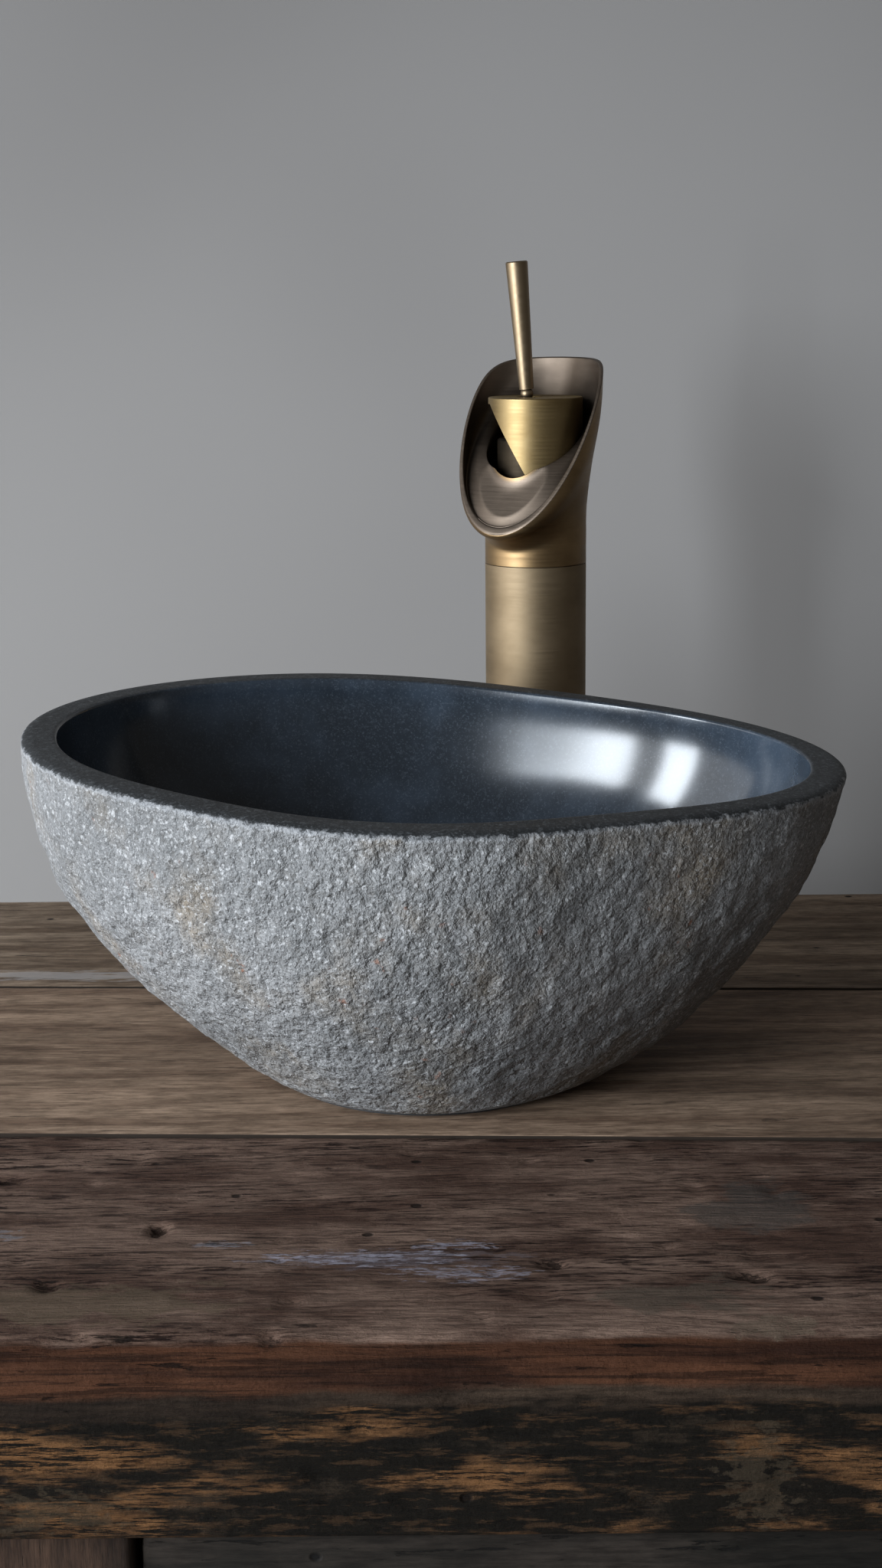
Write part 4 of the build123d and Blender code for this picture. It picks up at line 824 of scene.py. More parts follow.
@dataclass(frozen=True)
class Metal:
    """Brass or steel: brushed round the upright axis, with tarnish."""

    name: str
    bright: Colour
    tarnish: Colour
    roughness: float = 0.3
    lines: float = 900.0
    depth: float = 0.00001
    patina: float = 0.5
    streak: float = 0.06
    inside: Colour | None = None
    # the colour that the inside darkens to with depth: patina and painted shade
    deep: Colour = (40, 34, 28)

    def material(self, effects: Effects) -> bpy.types.Material:
        """Builds the material.

        Args:
            effects: the shared node groups.

        Returns:
            The material.
        """
        made, g, shader = new_material(self.name)
        brushing = g.effect(effects.brushing, {"Vector": g.place(), "Lines": self.lines})
        streaks, clouds = brushing.outputs["Streaks"], brushing.outputs["Tarnish"]
        share = g.times(g.step(clouds, 0.35, 0.7), self.patina)
        tone = g.mix(share, paint(*self.bright), paint(*self.tarnish))
        if self.inside:
            within = g.measure("inside")
            grey = g.mix(share, paint(*self.inside), paint(*(0.7 * value for value in self.inside)))
            # deeper inside, the tone darkens to the deep colour: patina and painted shade
            grey = g.mix(g.step(within, 0.14, 0.7), grey, paint(*self.deep))
            tone = g.mix(g.step(within, 0.0, 0.06), tone, grey)
        low, high = 1.0 - self.streak, 1.0 + self.streak
        tone = g.shaded(tone, streaks, 0.3, 0.7, (low, low, low), (high, high, high))
        shader.inputs["Metallic"].default_value = 1.0
        rough = g.step(streaks, 0.3, 0.7, self.roughness - 0.04, self.roughness + 0.05)
        feed(g, shader, {"Base Color": tone, "Roughness": rough, "Normal": g.bump(streaks, self.depth)})
        return made


@dataclass(frozen=True)
class Moulded:
    """Rubber or plastic: one tone with fine mottling, dust and a faint skin."""

    name: str
    tone: Colour
    dust: Colour
    roughness: float

    def material(self, effects: Effects) -> bpy.types.Material:
        """Builds the material.

        Args:
            effects: the shared node groups.

        Returns:
            The material.
        """
        made, g, shader = new_material(self.name)
        place = g.place()
        skin = g.effect(effects.speckle, {"Vector": place, "Fineness": 700.0})
        dusty = g.step(g.noise(place, 40.0, 5.0, 0.6), 0.5, 0.75)
        tone = g.mix(g.times(dusty, 0.35), paint(*self.tone), paint(*self.dust))
        tone = g.laid(tone, skin.outputs["Dark"], 0.2, (10, 10, 10))
        rough = g.step(dusty, 0.0, 1.0, self.roughness, self.roughness + 0.18)
        normal = g.bump(skin.outputs["Height"], 0.00008)
        feed(g, shader, {"Base Color": tone, "Roughness": rough, "Normal": normal})
        return made


def dress(material: bpy.types.Material, *names: str) -> None:
    """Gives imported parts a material.

    Args:
        material: the finish.
        names: the parts' names.
    """
    for name in names:
        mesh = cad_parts[name].data
        mesh.materials.clear()
        mesh.materials.append(material)


def fit_out(
    made: bpy.types.Object, material: bpy.types.Material, body: str, slot: str, *stands_for: str
) -> None:
    """Finishes a new piece: its material, the body it rides on and the parts that it stands for.

    Args:
        made: the piece.
        material: its finish.
        body: the body's name.
        slot: the record's material slot; not used.
        stands_for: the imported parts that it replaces.
    """
    made.data.materials.append(material)
    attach(made, body)
    if stands_for:
        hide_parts(*stands_for)


# ---------------------------------------------------------------- the basin
@dataclass
class Basin:
    """The stone vessel: a boulder with a cut, tilted rim and a polished bowl.

    A swell is a count of waves round the rim with its cosine and sine shares. An outside power or root is
    its middle and how far it changes towards X. A bump is its height, its size and its pattern. The rows
    over the rim stand closest where its two edges are rounded.
    """

    effects: Effects
    columns: int = 440
    half_length: float = 168.5
    half_depth: float = 133.4
    squareness: float = 2.15
    rim_shift: tuple[float, float] = (-7.3, 3.9)
    rim_width: float = 15.2
    rim_height: float = 138.9
    rim_roll: float = 2.0
    rim_rows: tuple[float, ...] = (
        *(0.15, 0.4, 0.8, 1.4, 2.2, 3.2, 4.5),
        *(6.0, 8.0, 10.0, 12.0, 13.4, 14.2, 14.8, 15.1),
    )
    far_from_rim: float = 200.0
    swells: tuple[tuple[int, float, float], ...] = (
        (1, 0.032, 0.0445),
        (2, 0.003, -0.019),
        (3, 0.030, 0.024),
        (4, 0.030, 0.003),
    )
    tilt: tuple[float, float] = (-0.0462, 0.046)
    droop: tuple[float, float, float] = (-0.81e-4, -0.17e-4, -0.64e-4)
    base_radius: float = 67.5
    outside_power: tuple[float, float] = (1.845, -0.385)
    outside_root: tuple[float, float] = (1.249, 0.191)
    bowl_floor: float = 24.0
    bowl_power: float = 1.9
    bowl_root: float = 1.75
    floor_radius: float = 34.0
    drain_radius: float = 22.5
    bumps: tuple[tuple[float, float, int], ...] = (
        (0.9, 26.0, 3),
        (0.6, 9.0, 4),
        (0.45, 4.6, 5),
        (0.25, 2.4, 6),
    )

    def rim_radius(self, angle: np.ndarray) -> np.ndarray:
        """The rim's radius: a squarish oval times one plus a few slow waves.

        Args:
            angle: the direction from the rim's centre, in radians.

        Returns:
            The radius in each direction.
        """
        power = self.squareness
        across = np.abs(np.cos(angle) / self.half_length) ** power
        along = np.abs(np.sin(angle) / self.half_depth) ** power
        swell = 1.0
        for waves, cosine, sine in self.swells:
            swell = swell + cosine * np.cos(waves * angle) + sine * np.sin(waves * angle)
        return (across + along) ** (-1 / power) * swell

    def rim_level(self, x: np.ndarray, y: np.ndarray) -> np.ndarray:
        """The cut rim's height above the base: a tilted plane that droops with x x, y y and x y.

        Args:
            x: places from the rim's centre.
            y: places from the rim's centre.

        Returns:
            The heights.
        """
        plane = self.rim_height + self.tilt[0] * x + self.tilt[1] * y
        return plane + self.droop[0] * x**2 + self.droop[1] * y**2 + self.droop[2] * x * y

    def sections(self) -> tuple[np.ndarray, np.ndarray]:
        """The surface as rows of (radius, height, share of the rim's shift) for every direction.

        From the drain's edge under the base it goes out, up the outside, over the rim, down the bowl and
        the drain. The outside spreads as (1 - (1 - t)^p)^(1/q) with height share t, and so does the bowl.

        Returns:
            The points in millimetres from the base's middle, and how far over the rim each is.
        """
        angle = np.linspace(0.0, math.tau, self.columns, endpoint=False)
        cos, sin = np.cos(angle), np.sin(angle)
        rim = self.rim_radius(angle)
        foot = self.base_radius * (0.75 + 0.25 * rim / rim.mean())
        sx, sy = self.rim_shift

        def at(radius: np.ndarray, height: np.ndarray, share: np.ndarray) -> np.ndarray:
            """Points at a radius and height, shifted by a share of the rim's shift."""
            x = share * sx + radius * cos
            y = share * sy + radius * sin
            return np.stack(np.broadcast_arrays(x, y, height), axis=-1)

        rows, across = [], []
        # out from the drain under the base
        out = np.linspace(0.0, 1.0, 9)[:, None]
        under = self.drain_radius + (foot - self.drain_radius) * out[:-1]
        rows.append(at(under, np.zeros_like(rim), 0 * out[:-1]))
        across.append(np.full((8, self.columns), -self.far_from_rim))

        # up the outside, with closer rows near the base
        t = (np.linspace(0.0, 1.0, 112)[:, None]) ** 1.35
        power = self.outside_power[0] + self.outside_power[1] * cos
        root = self.outside_root[0] + self.outside_root[1] * cos
        spread = (1 - (1 - t) ** power) ** (1 / root)
        lip = self.rim_level(rim * cos, rim * sin) - self.rim_roll
        rows.append(at(foot + (rim - foot) * spread, lip * t, spread))
        across.append(-(1 - t) * lip)

        # over the rim, with a quarter ellipse at each of its edges
        w = np.array(self.rim_rows)[:, None]
        edge_in = np.clip((w - self.rim_width + 1.8) / 1.8, 0.0, 1.0)
        round_out = self.rim_roll * (1 - np.sqrt(1 - np.clip(1 - w / 5.0, 0, 1) ** 2))
        round_in = 1.3 * (1 - np.sqrt(1 - edge_in**2))
        radius = rim - w
        level = self.rim_level(radius * cos, radius * sin) - round_out - round_in
        rows.append(at(radius, level, np.ones_like(w)))
        across.append(w + 0 * rim)

        # down the bowl
        t = 1 - np.linspace(0.0, 1.0, 66)[:, None] ** 0.8
        spread = (1 - (1 - t) ** self.bowl_power) ** (1 / self.bowl_root)
        inner = rim - self.rim_width
        lip_in = self.rim_level(inner * cos, inner * sin) - 1.4
        radius = self.floor_radius + (inner - self.floor_radius) * spread
        rows.append(at(radius, self.bowl_floor + (lip_in - self.bowl_floor) * t, spread))
        across.append(self.rim_width + (1 - t) * (lip_in - self.bowl_floor))

        # in over the bowl's floor, and down the drain
        out = np.linspace(1.0, 0.0, 6)[1:, None]
        floor = self.drain_radius + (self.floor_radius - self.drain_radius) * out
        rows.append(at(floor + 0 * rim, self.bowl_floor + 0 * rim, 0 * out))
        across.append(np.full((5, self.columns), self.far_from_rim))
        down = np.linspace(1.0, 0.0, 5)[1:-1, None]
        rows.append(at(self.drain_radius + 0 * rim * down, self.bowl_floor * down + 0 * rim, 0 * down))
        across.append(np.full((3, self.columns), self.far_from_rim))
        return np.concatenate(rows), np.concatenate(across)

    def build(self) -> bpy.types.Object:
        """Makes the stone. Its outside is roughened along its normals by noise of four sizes.

        Returns:
            The stone.
        """
        low, high = node_box("waste_body")
        foot = np.array([*(low + high)[:2] / 2, node_box("stone_basin")[0][2]])
        rows, across = self.sections()
        rows = rows + foot
        normals = surface_normals(rows, True)
        rough = smooth(-across, 0.2, 5.0) * smooth(rows[..., 2] - foot[2], 0.3, 6.0)
        relief = sum(share * lumps(rows, size, seed) for share, size, seed in self.bumps)
        outward = np.sign(np.sum(normals[60] * (rows[60] - foot) * [1, 1, 0], axis=-1).mean())
        rows = rows + normals * (outward * (relief - 0.5) * rough)[..., None]
        made = tube_mesh("stone_vessel", rows, True, {"across_rim": across})
        stone = RiverStone("river_stone").material(self.effects)
        fit_out(made, stone, "root", "basin_stone", "stone_basin")
        return made


# ---------------------------------------------------------------- the worktop
@dataclass
class Worktop:
    """Three old timbers: a thick front beam with a worn arris, and two planks behind it.

    The beam's back runs askew by the taper. A pit is its X and Y, its length, width and depth.
    """

    effects: Effects
    arris: float = 13.0
    arris_wear: float = 17.0
    edge: float = 1.5
    taper: float = 0.04
    seam: float = 0.6
    chamfer: float = 0.5
    step: float = 2.1
    pits: tuple[tuple[float, float, float, float, float], ...] = (
        (-209.3, -178.6, 4.0, 6.0, 2.0),
        (-241.8, -224.7, 4.5, 4.5, 1.8),
        (-163.8, -262.0, 3.5, 5.0, 1.1),
        (-159.1, -239.3, 4.5, 3.5, 1.8),
        (-70.8, -210.0, 5.0, 4.5, 1.8),
        (-3.9, -222.2, 7.0, 4.0, 1.8),
        (-271.6, -130.7, 7.0, 3.5, 1.5),
        (-229.7, -262.0, 9.0, 4.0, 1.1),
        (-96.6, -250.6, 4.0, 3.0, 1.2),
        (0.0, -258.0, 14.0, 6.0, 0.9),
        (150.0, -190.0, 6.0, 4.0, 1.8),
        (236.0, -236.0, 8.0, 5.0, 1.8),
        (302.0, -150.0, 5.0, 4.0, 1.5),
    )

    def beam(self) -> bpy.types.Object:
        """Makes the beam: a rounded outline carried along X, worn by ridges, dents and a wavy arris.

        Returns:
            The beam.
        """
        low, high = node_box("front_beam")
        back = node_box("middle_plank")[0][1] + self.taper * high[0] - 2 * self.seam
        corners = [(back, high[2]), (low[1], high[2]), (low[1], low[2]), (back, low[2])]
        outline = rounded_ring(corners, (self.edge, self.arris, self.edge, self.edge), self.step)
        stations = np.linspace(low[0], high[0], int((high[0] - low[0]) / self.step))
        middle = outline.mean(0)
        ends = np.array([0.1, 0.35, 0.65, 0.88, 0.985])
        sizes = np.concatenate([ends, np.ones(len(stations)), ends[::-1]])
        stations[0] += self.chamfer
        stations[-1] -= self.chamfer
        x = np.concatenate([np.full(len(ends), low[0]), stations, np.full(len(ends), high[0])])
        flat = middle + (outline - middle) * sizes[:, None, None]
        depth = (flat[..., 0] - low[1]) / (back - low[1])
        y = flat[..., 0] - self.taper * x[:, None] * depth
        rows = np.stack(np.broadcast_arrays(x[:, None], y, flat[..., 1]), axis=-1)
        corner = np.hypot(outline[:, 0] - low[1], outline[:, 1] - high[2])
        near_arris = np.exp(-((corner / self.arris_wear) ** 2))
        on_front = smooth(-(outline[:, 0] - low[1]), -3.0, 0.0) * smooth(high[2] - outline[:, 1], 6.0, 22.0)
        below = smooth(high[2] - outline[:, 1], 60.0, 66.0)
        ridges = np.abs(lumps(rows, (70.0, 4.0, 4.0), 11)) * 0.5
        ridges = ridges + np.abs(lumps(rows, (34.0, 2.6, 2.6), 12)) * 0.3
        dents = smooth(lumps(rows, (15.0, 9.0, 9.0), 13), 0.55, 0.95) * 1.1
        wave = (0.5 + 0.5 * lumps(rows, (60.0, 200.0, 200.0), 14)) * 2.6
        wave = wave + smooth(lumps(rows, (22.0, 30.0, 30.0), 15), 0.3, 0.9)
        pits = np.zeros(rows.shape[:2])
        for pit_x, pit_y, long, wide, deep in self.pits:
            reach = ((rows[..., 0] - pit_x) / long) ** 2 + ((rows[..., 1] - pit_y) / wide) ** 2
            pits += deep * np.exp(-(reach**2)) * (rows[..., 2] > high[2] - 8.0)
        pits *= 1.0 + 0.7 * lumps(rows, (6.0, 4.0, 4.0), 16)
        # worn inwards along the normals, but for the cut ends and the underside
        wear = ridges * (1 + 1.3 * on_front) + dents + wave * near_arris + pits
        wear = wear * (1 - below) * (sizes == 1.0)[:, None]
        direction = (middle - outline) / np.linalg.norm(middle - outline, axis=-1, keepdims=True)
        flat_normals = surface_normals(rows, False)
        side = np.sign(np.sum(flat_normals[40][:, 1:] * direction, axis=-1).mean())
        rows = rows + flat_normals * (side * wear)[..., None]
        made = tube_mesh("weathered_beam", rows, measures={"hollow": pits})
        finish = BeamTimber("beam_timber", low[1] * MM, high[2] * MM, BEAM_PATCHES)
        fit_out(made, finish.material(self.effects), "root", "beam_wood", "front_beam")
        return made

    def planks(self) -> None:
        """Dresses the two planks behind the beam."""
        middle = Timber("plank_timber", (146, 126, 109), (110, 91, 77), weathering=0.6, seam_top=0.74)
        smear = Patch((-0.29, 0.13, 0.74), (0.16, 0.011, 0.05), (168, 165, 164), 0.55, 3.0, (40, 260, 260))
        rear = Timber("rear_plank_timber", (150, 134, 118), (108, 92, 78), smear=smear, seam_top=0.74)
        dress(middle.material(self.effects), "middle_plank")
        dress(rear.material(self.effects), "rear_plank")


# ---------------------------------------------------------------- the tap


@dataclass
class Scoop:
    """The tap's flared head: a tube that opens into a tilted scoop with an open chute.

    The outside and the inside are sections from the foot to past the rim: each has its share of the
    widening, of the lip's rise and of the crown's.
    """

    effects: Effects
    turn: float = math.radians(32.0)
    shift: float = -1.7
    oval: float = 0.041
    tube: float = 25.5
    bore: float = 24.0
    reach: float = 35.5
    wall: float = 1.8
    blend: float = 1.0
    foot: float = 192.75
    chute: float = 239.5
    lip: float = 211.0
    crown: float = 294.5
    rim_slope: float = 1.7
    rim_bend: float = 6.3
    rim_start: float = -12.3
    rim_round: float = 0.45
    columns: int = 144
    outside: Shares = (
        (0.0, 0.0, 0.0),
        (0.0, 0.24, 0.153),
        (0.04, 0.48, 0.371),
        (0.41, 0.70, 0.678),
        (0.94, 0.88, 1.0),
        (1.04, 1.67, 1.134),
        (1.06, 2.58, 1.272),
    )
    inside: Shares = (
        (-0.24, 0.0, 0.444),
        (0.05, 0.06, 0.6),
        (0.45, 0.38, 0.8),
        (0.89, 0.92, 1.03),
        (1.05, 0.54, 1.25),
        (1.07, 0.0, 1.49),
    )

    def lipward(self, rows: np.ndarray) -> np.ndarray:
        """How far points lie from the tap's axis towards the lip."""
        return -(rows[..., 0] * math.sin(self.turn) + rows[..., 1] * math.cos(self.turn))

    def cut(self, lipward: np.ndarray) -> np.ndarray:
        """The rim's height: flat behind, then a slope, joined by the log of one plus an exponential.

        Args:
            lipward: places along the way to the lip, from the tap's axis.

        Returns:
            The heights above the worktop.
        """
        bend = self.rim_bend * np.log1p(np.exp((lipward - self.rim_start) / self.rim_bend))
        return self.crown - self.rim_slope * bend

    def shell(self, table: Shares, radii: tuple[float, float], start: float) -> np.ndarray:
        """Dense rows through tilted sections, each given by shares of the widening and of two rises.

        A section's radius is stretched towards the lip, and its height runs from its low side to its high
        side with the share (1 + oval - (1 + oval c) c) / 2, where c is the cosine from the lip's direction.

        Args:
            table: rows of three shares: of the widening, of the lip's rise and of the crown's.
            radii: the radius at widening 0 and 1.
            start: the height that both rises start from.

        Returns:
            Points from the tap's axis and the worktop, rows by columns by 3.
        """
        rows = spline_rows(np.asarray(table, float), np.linspace(0.0, 1.0, 400))
        widening, low_share, high_share = (rows[:, i, None] for i in range(3))
        angle = np.linspace(0.0, math.tau, self.columns, endpoint=False)[None]
        facing = np.cos(angle - self.turn)
        kept = np.clip(widening, 0.0, 1.0)
        oval = self.oval * kept
        radius = (radii[0] + (radii[1] - radii[0]) * widening) * (1 + oval * facing)
        low = start + (self.lip - start) * low_share
        high = start + (self.crown - start) * high_share
        share = (1 + oval - (1 + oval * facing) * facing) / 2
        height = low + (high - low) * share
        x = self.shift * kept - radius * np.sin(angle)
        return np.stack([x, -radius * np.cos(angle), height], axis=-1)

    def trimmed(self, rows: np.ndarray, count: int) -> np.ndarray:
        """The part of a shell up to the last place where it meets the rim's cut, with nothing above it.

        Args:
            rows: dense rows of a shell.
            count: how many rows to give.

        Returns:
            The rows, the last of them on the cut.
        """
        over = rows[..., 2] - self.cut(self.lipward(rows))
        crossing = len(rows) - np.argmax((over <= 0)[::-1], axis=0)
        column = np.arange(rows.shape[1])
        before, after = over[crossing - 1, column], over[crossing, column]
        end = crossing - 1 + before / (before - after)
        rows = np.stack([rows[..., 0], rows[..., 1], rows[..., 2] - np.maximum(over, 0.0)], axis=-1)
        at = end[None] * np.linspace(0.0, 1.0, count)[:, None]
        start = np.minimum(at.astype(int), len(rows) - 2)
        part = (at - start)[..., None]
        return rows[start, column[None]] * (1 - part) + rows[start + 1, column[None]] * part

    def build(self) -> bpy.types.Object:
        """Makes the scoop: up the outside, over a softened rim, then down the inside and the bore.

        Returns:
            The scoop.
        """
        low, high = node_box("tap_tube")
        axis = np.array([*(low + high)[:2] / 2, node_box("middle_plank")[1][2]])
        outer = self.trimmed(self.shell(self.outside, (self.tube, self.reach), self.foot), 90)
        inner = self.trimmed(self.shell(self.inside, (self.bore, self.reach - self.wall), self.chute), 60)
        # the inside stays outside the bore, which it joins as the log of one plus an exponential
        far = np.hypot(inner[..., 0], inner[..., 1])
        opened = self.bore + self.blend * np.log1p(np.exp((far - self.bore) / self.blend))
        inner[..., :2] *= (opened / far)[..., None]
        # over the rim, which sinks at its edges as 1 less the root of 1 - u^4, with u from -1 to 1
        out_edge, in_edge = outer[-1], inner[-1]
        wall_out = outer[-1] - outer[-4]
        wall_in = inner[-1] - inner[-4]
        wall_out = wall_out / np.linalg.norm(wall_out, axis=-1, keepdims=True)
        wall_in = wall_in / np.linalg.norm(wall_in, axis=-1, keepdims=True)
        rim = [out_edge - self.rim_round * wall_out]
        for share in (0.12, 0.3, 0.5, 0.7, 0.88):
            sunk = self.rim_round * (1 - math.sqrt(max(0.0, 1 - (2 * share - 1) ** 4)))
            rim.append(out_edge + (in_edge - out_edge) * share - sunk * (wall_out + wall_in) / 2)
        rim.append(in_edge - self.rim_round * wall_in)
        angle = np.arange(self.columns) / self.columns * math.tau
        height = self.foot + (inner[0][:, 2] - self.foot)[None] * np.linspace(1.0, 0.0, 12)[1:, None]
        throat = np.broadcast_arrays(-self.bore * np.sin(angle), -self.bore * np.cos(angle), height)
        rows = np.concatenate([outer[:-1], np.array(rim), inner[::-1][1:], np.stack(throat, axis=-1)])
        # the inside's measure grows with the depth under the rim, and the material darkens the inside with
        # it: patina and painted shade
        depth = self.cut(self.lipward(rows)) - rows[..., 2]
        inside_share = np.clip((depth + 4.0) / 38.0, 0.0, 1.0)
        inside_share[: len(outer) - 1] = 0.0
        made = tube_mesh("tap_scoop", rows + axis, True, {"inside": inside_share})
        light, dark = (140, 116, 84), (98, 78, 54)
        # the deepest inside tone is patina and painted shade
        inner_tone, deep_patina_and_shade = (108, 96, 85), (28, 23, 18)
        finish = Metal("scoop_brass", light, dark, 0.44, lines=1400.0, inside=inner_tone, deep=deep_patina_and_shade)
        fit_out(made, finish.material(self.effects), "root", "antique_brass", "spout_head")
        return made


@dataclass
class Tap:
    """The tall mixer tap: its tube, ring, hub, cartridge, lever and the parts under the worktop."""

    effects: Effects

    def build(self) -> None:
        """Makes the scoop and dresses the tap's other parts."""
        Scoop(self.effects).build()
        brushed = Metal("tube_brass", (137, 120, 96), (110, 94, 72), 0.58, lines=1500.0)
        turned = Metal("hub_brass", (138, 119, 84), (108, 85, 50), 0.47, 1100.0, 4e-6, 0.5, streak=0.03)
        rod = Metal("rod_brass", (140, 123, 100), (116, 96, 70), 0.44, 500.0, 3e-6, 0.25, streak=0.02)
        plain = Metal("plain_brass", (188, 158, 98), (138, 110, 62), 0.3, patina=0.6)
        steel = Metal("turned_steel", (176, 178, 180), (128, 128, 128), 0.3, patina=0.4)
        dress(brushed.material(self.effects), "tap_tube", "tap_base_ring")
        dress(turned.material(self.effects), "cartridge_hub")
        dress(rod.material(self.effects), "lever_rod", "lever_stem")
        dark = Metal("blackened_brass", (52, 45, 36), (24, 20, 16), 0.5)
        dress(dark.material(self.effects), "cartridge_nut")
        dress(plain.material(self.effects), "tap_foot", "cartridge_spindle", "supply_tubes", "inlet_tails")
        dress(steel.material(self.effects), "mounting_stud", "stud_nut", "clamp_plate", "pivot_pin")
        rubber = Moulded("tap_rubber", (24, 24, 25), (96, 92, 86), 0.62).material(self.effects)
        dress(rubber, "base_gasket", "lever_boot")
        grey = Moulded("cartridge_plastic", (92, 94, 96), (150, 150, 148), 0.42)
        dress(grey.material(self.effects), "mixing_cartridge")


# ---------------------------------------------------------------- the rest of the vanity
@dataclass
class Cabinet:
    """The timber frame with its shelf, and the drawer."""

    effects: Effects

    def dress_frame(self) -> None:
        """Gives the posts, rails and shelf their timber, with the grain along each piece."""
        old = Timber("frame_timber", (61, 46, 37), (39, 29, 23), weathering=0.7, relief=0.6)
        upright = old.material(self.effects, Grain.UPRIGHT)
        dress(upright, "front_left_post", "front_right_post", "rear_left_post", "rear_right_post")
        dress(old.material(self.effects, Grain.ACROSS), "back_rail", "drawer_rail", "runner_rail")
        deep = old.material(self.effects, Grain.DEEP)
        dress(deep, "left_side_rail", "right_side_rail", "left_stretcher", "right_stretcher")
        shelf = Timber("shelf_timber", (122, 104, 90), (84, 69, 58), weathering=0.75)
        dress(shelf.material(self.effects, Grain.ACROSS), "shelf_boards")
        steel = Metal("screw_steel", (150, 150, 150), (96, 90, 84), 0.36)
        dress(steel.material(self.effects), "shelf_screws")
        black = Moulded("glide_plastic", (38, 38, 39), (110, 106, 100), 0.5)
        dress(black.material(self.effects), "floor_glides")

    def dress_drawer(self) -> None:
        """Gives the drawer's front its dark face and its box plain timber."""
        dark = Timber("drawer_front_timber", (44, 39, 35), (24, 22, 19), (12, 10, 9), 0.66, 0.9, 0.6)
        dress(dark.material(self.effects, Grain.ACROSS), "drawer_front")
        box = Timber("drawer_box_timber", (176, 148, 112), (148, 118, 84), weathering=0.2, relief=0.25)
        deep = box.material(self.effects, Grain.DEEP)
        dress(deep, "drawer_left_side", "drawer_right_side", "drawer_kickers")
        dress(deep, "left_runner", "right_runner")
        dress(box.material(self.effects, Grain.ACROSS), "drawer_back", "drawer_bottom")
        brass = Metal("knob_brass", (150, 126, 92), (84, 68, 50), 0.34, patina=0.7)
        dress(brass.material(self.effects), "drawer_knob")
        steel = Metal("knob_screw_steel", (160, 160, 160), (110, 108, 104), 0.32)
        dress(steel.material(self.effects), "knob_screw")


@dataclass
class Plumbing:
    """The waste, its plug, and the bottle trap with its pipe to the wall."""

    effects: Effects

    def build(self) -> None:
        """Dresses the waste and the trap."""
        brass = Metal("trap_brass", (176, 148, 100), (112, 90, 58), 0.26, lines=700.0, patina=0.55)
        dress(
            brass.material(self.effects),
            "waste_body",
            "waste_plug",
            "waste_backnut",
            "trap_inlet_nut",
            "trap_inlet_pipe",
            "trap_head",
            "trap_gland_nuts",
            "trap_cup",
            "outlet_pipe",
            "wall_rosette",
        )
        steel = Metal("stem_steel", (170, 172, 174), (120, 120, 120), 0.3)
        dress(steel.material(self.effects), "plug_stem")
        rubber = Moulded("seal_rubber", (22, 22, 23), (90, 88, 84), 0.66).material(self.effects)
        dress(rubber, "basin_seal", "flange_seal", "waste_washer")


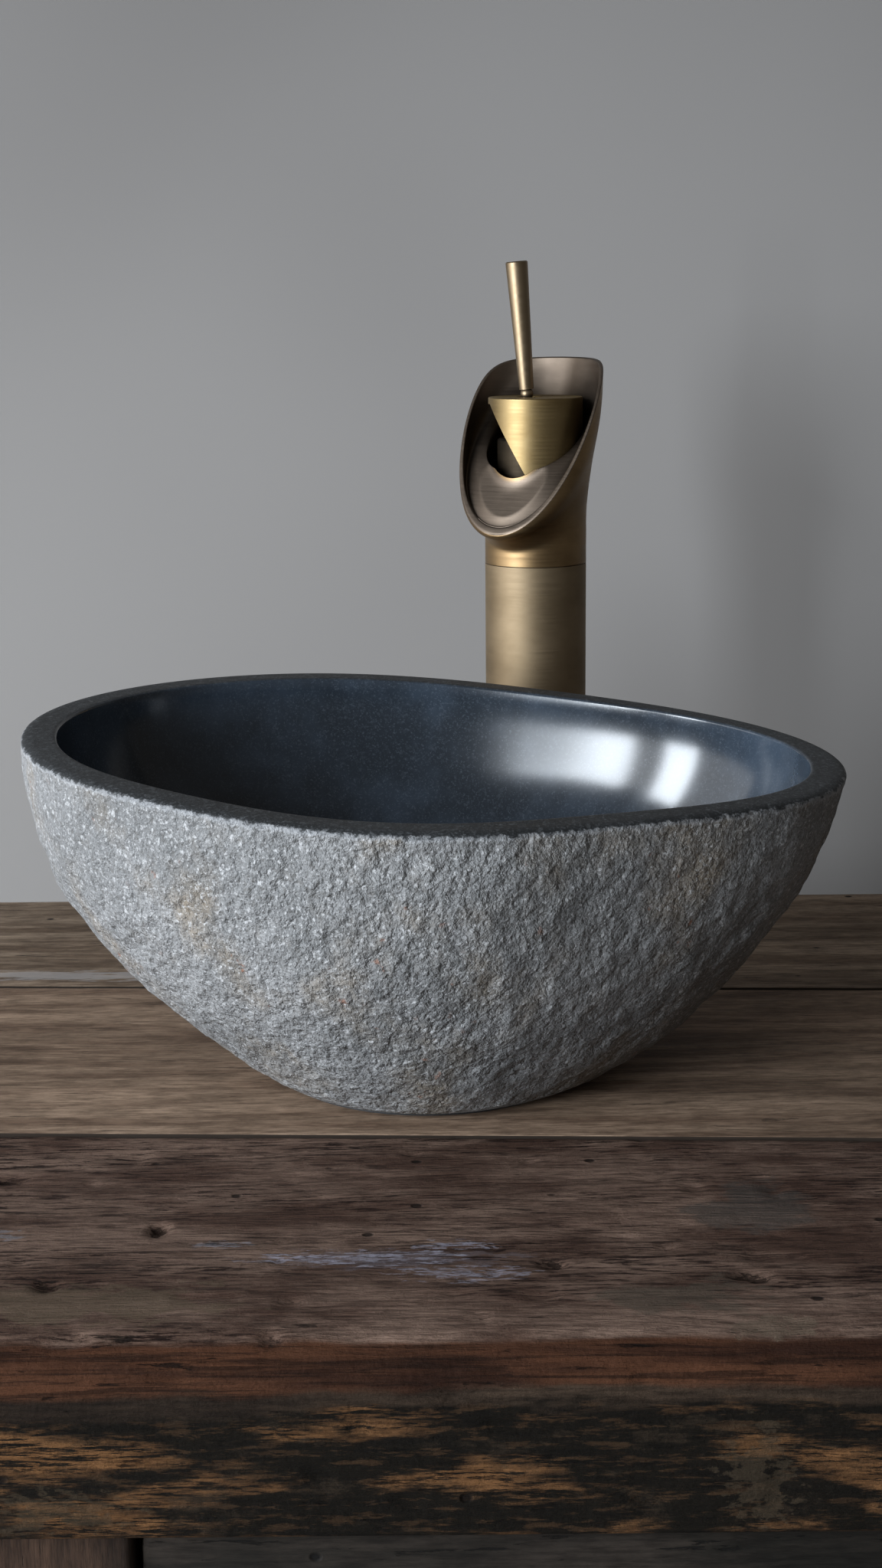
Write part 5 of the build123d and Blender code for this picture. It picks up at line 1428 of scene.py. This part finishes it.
# ---------------------------------------------------------------- the studio
@dataclass
class Studio:
    """The pale floor, the grey wall, three window-like lamps on the left, and the camera."""

    eye: tuple[float, float, float] = (-107.0, -931.0, 1066.0)
    pitch: float = math.radians(12.3)
    roll: float = math.radians(0.55)
    lens: float = 51.67
    room_tint: tuple[float, float, float, float] = (0.9, 0.87, 0.83, 1.0)
    room_light: float = 0.13

    def camera(self) -> None:
        """Places the camera: it looks along +Y, tipped down by the pitch and turned by the roll."""
        data = bpy.data.cameras.new("camera")
        data.lens = self.lens
        data.sensor_width = 36.0
        data.clip_start = 0.05
        ahead = np.array([0.0, math.cos(self.pitch), -math.sin(self.pitch)])
        level_up = np.array([0.0, math.sin(self.pitch), math.cos(self.pitch)])
        side = np.array([1.0, 0.0, 0.0])
        right = math.cos(self.roll) * side - math.sin(self.roll) * level_up
        up = math.cos(self.roll) * level_up + math.sin(self.roll) * side
        turn = Matrix((right, up, -ahead)).transposed().to_4x4()
        made = bpy.data.objects.new("camera", data)
        made.matrix_world = Matrix.Translation(Vector(self.eye) * MM) @ turn
        bpy.context.scene.collection.objects.link(made)
        bpy.context.scene.camera = made

    def lamp(
        self, name: str, place: Sequence[float], size: tuple[float, float], power: float, tint: Colour
    ) -> None:
        """Adds a soft rectangular lamp that faces along X.

        Args:
            name: the lamp's name.
            place: where it stands, in metres.
            size: its width and height.
            power: its strength in watts.
            tint: its colour, linear.
        """
        data = bpy.data.lights.new(name, "AREA")
        data.shape = "RECTANGLE"
        data.size, data.size_y = size
        data.energy = power
        data.color = tint
        made = bpy.data.objects.new(name, data)
        made.location = place
        made.rotation_euler = Vector((1.0, 0.0, 0.0)).to_track_quat("-Z", "Y").to_euler()
        bpy.context.scene.collection.objects.link(made)

    def ground(self) -> None:
        """Makes the floor and the wall behind the vanity, which is clear to an eye behind it."""
        flat = [(-4, -5, 0), (4, -5, 0), (4, 5, 0), (-4, 5, 0)]
        upright = [(-4, 0.42, 0), (4, 0.42, 0), (4, 0.42, 4), (-4, 0.42, 4)]
        for name, corners, near, far in (
            ("floor", flat, (196, 195, 192), (182, 181, 178)),
            ("wall", upright, (137, 134, 132), (125, 122, 120)),
        ):
            mesh = bpy.data.meshes.new(name)
            mesh.from_pydata(corners, [], [(0, 1, 2, 3)])
            made = bpy.data.objects.new(name, mesh)
            bpy.context.scene.collection.objects.link(made)
            material, g, shader = new_material(f"{name}_paint")
            place = g.place()
            tone = g.cloudy(g.noise(place, 1.6, 2.0), 0.35, 0.65, near, far)
            # the wall darkens towards its top: a painted shade
            tone = g.mix(g.step(g.axis(place, "Z"), 0.95, 1.5, 0.0, 0.42), tone, paint(0, 0, 0))
            seen = g.less(1.0, g.node("ShaderNodeNewGeometry").outputs["Backfacing"])
            feed(g, shader, {"Base Color": tone, "Alpha": seen})
            shader.inputs["Roughness"].default_value = 0.9
            mesh.materials.append(material)

    def build(self) -> None:
        """Builds the floor, wall, world, lamps and camera."""
        self.ground()
        world = bpy.data.worlds.new("room")
        world.use_nodes = True
        back = world.node_tree.nodes["Background"]
        back.inputs["Color"].default_value = self.room_tint
        back.inputs["Strength"].default_value = self.room_light
        bpy.context.scene.world = world
        sky, pale = (0.84, 0.92, 1.0), (0.97, 0.985, 1.0)
        self.lamp("window_near", (-1.7, -2.03, 1.37), (0.62, 1.28), 72.0, sky)
        self.lamp("window_far", (-1.7, -1.0, 1.37), (0.5, 1.15), 50.0, sky)
        self.lamp("pale_side", (-1.85, -0.8, 1.02), (3.4, 2.0), 48.0, pale)
        bpy.context.scene.view_settings.view_transform = "Standard"
        self.camera()


# ---------------------------------------------------------------- putting it together
def main() -> None:
    """Builds every part in order, then notes the sizes."""
    logging.basicConfig(level=logging.INFO, format="%(message)s")
    effects = Effects()
    Studio().build()
    LOG.info("studio ready")
    basin = Basin(effects).build()
    LOG.info("%s: %d points", basin.name, len(basin.data.vertices))
    worktop = Worktop(effects)
    beam = worktop.beam()
    LOG.info("%s: %d points", beam.name, len(beam.data.vertices))
    worktop.planks()
    LOG.info("planks ready")
    Tap(effects).build()
    LOG.info("tap ready")
    cabinet = Cabinet(effects)
    cabinet.dress_frame()
    cabinet.dress_drawer()
    LOG.info("cabinet ready")
    Plumbing(effects).build()
    LOG.info("plumbing ready")


if __name__ == "__main__":
    main()
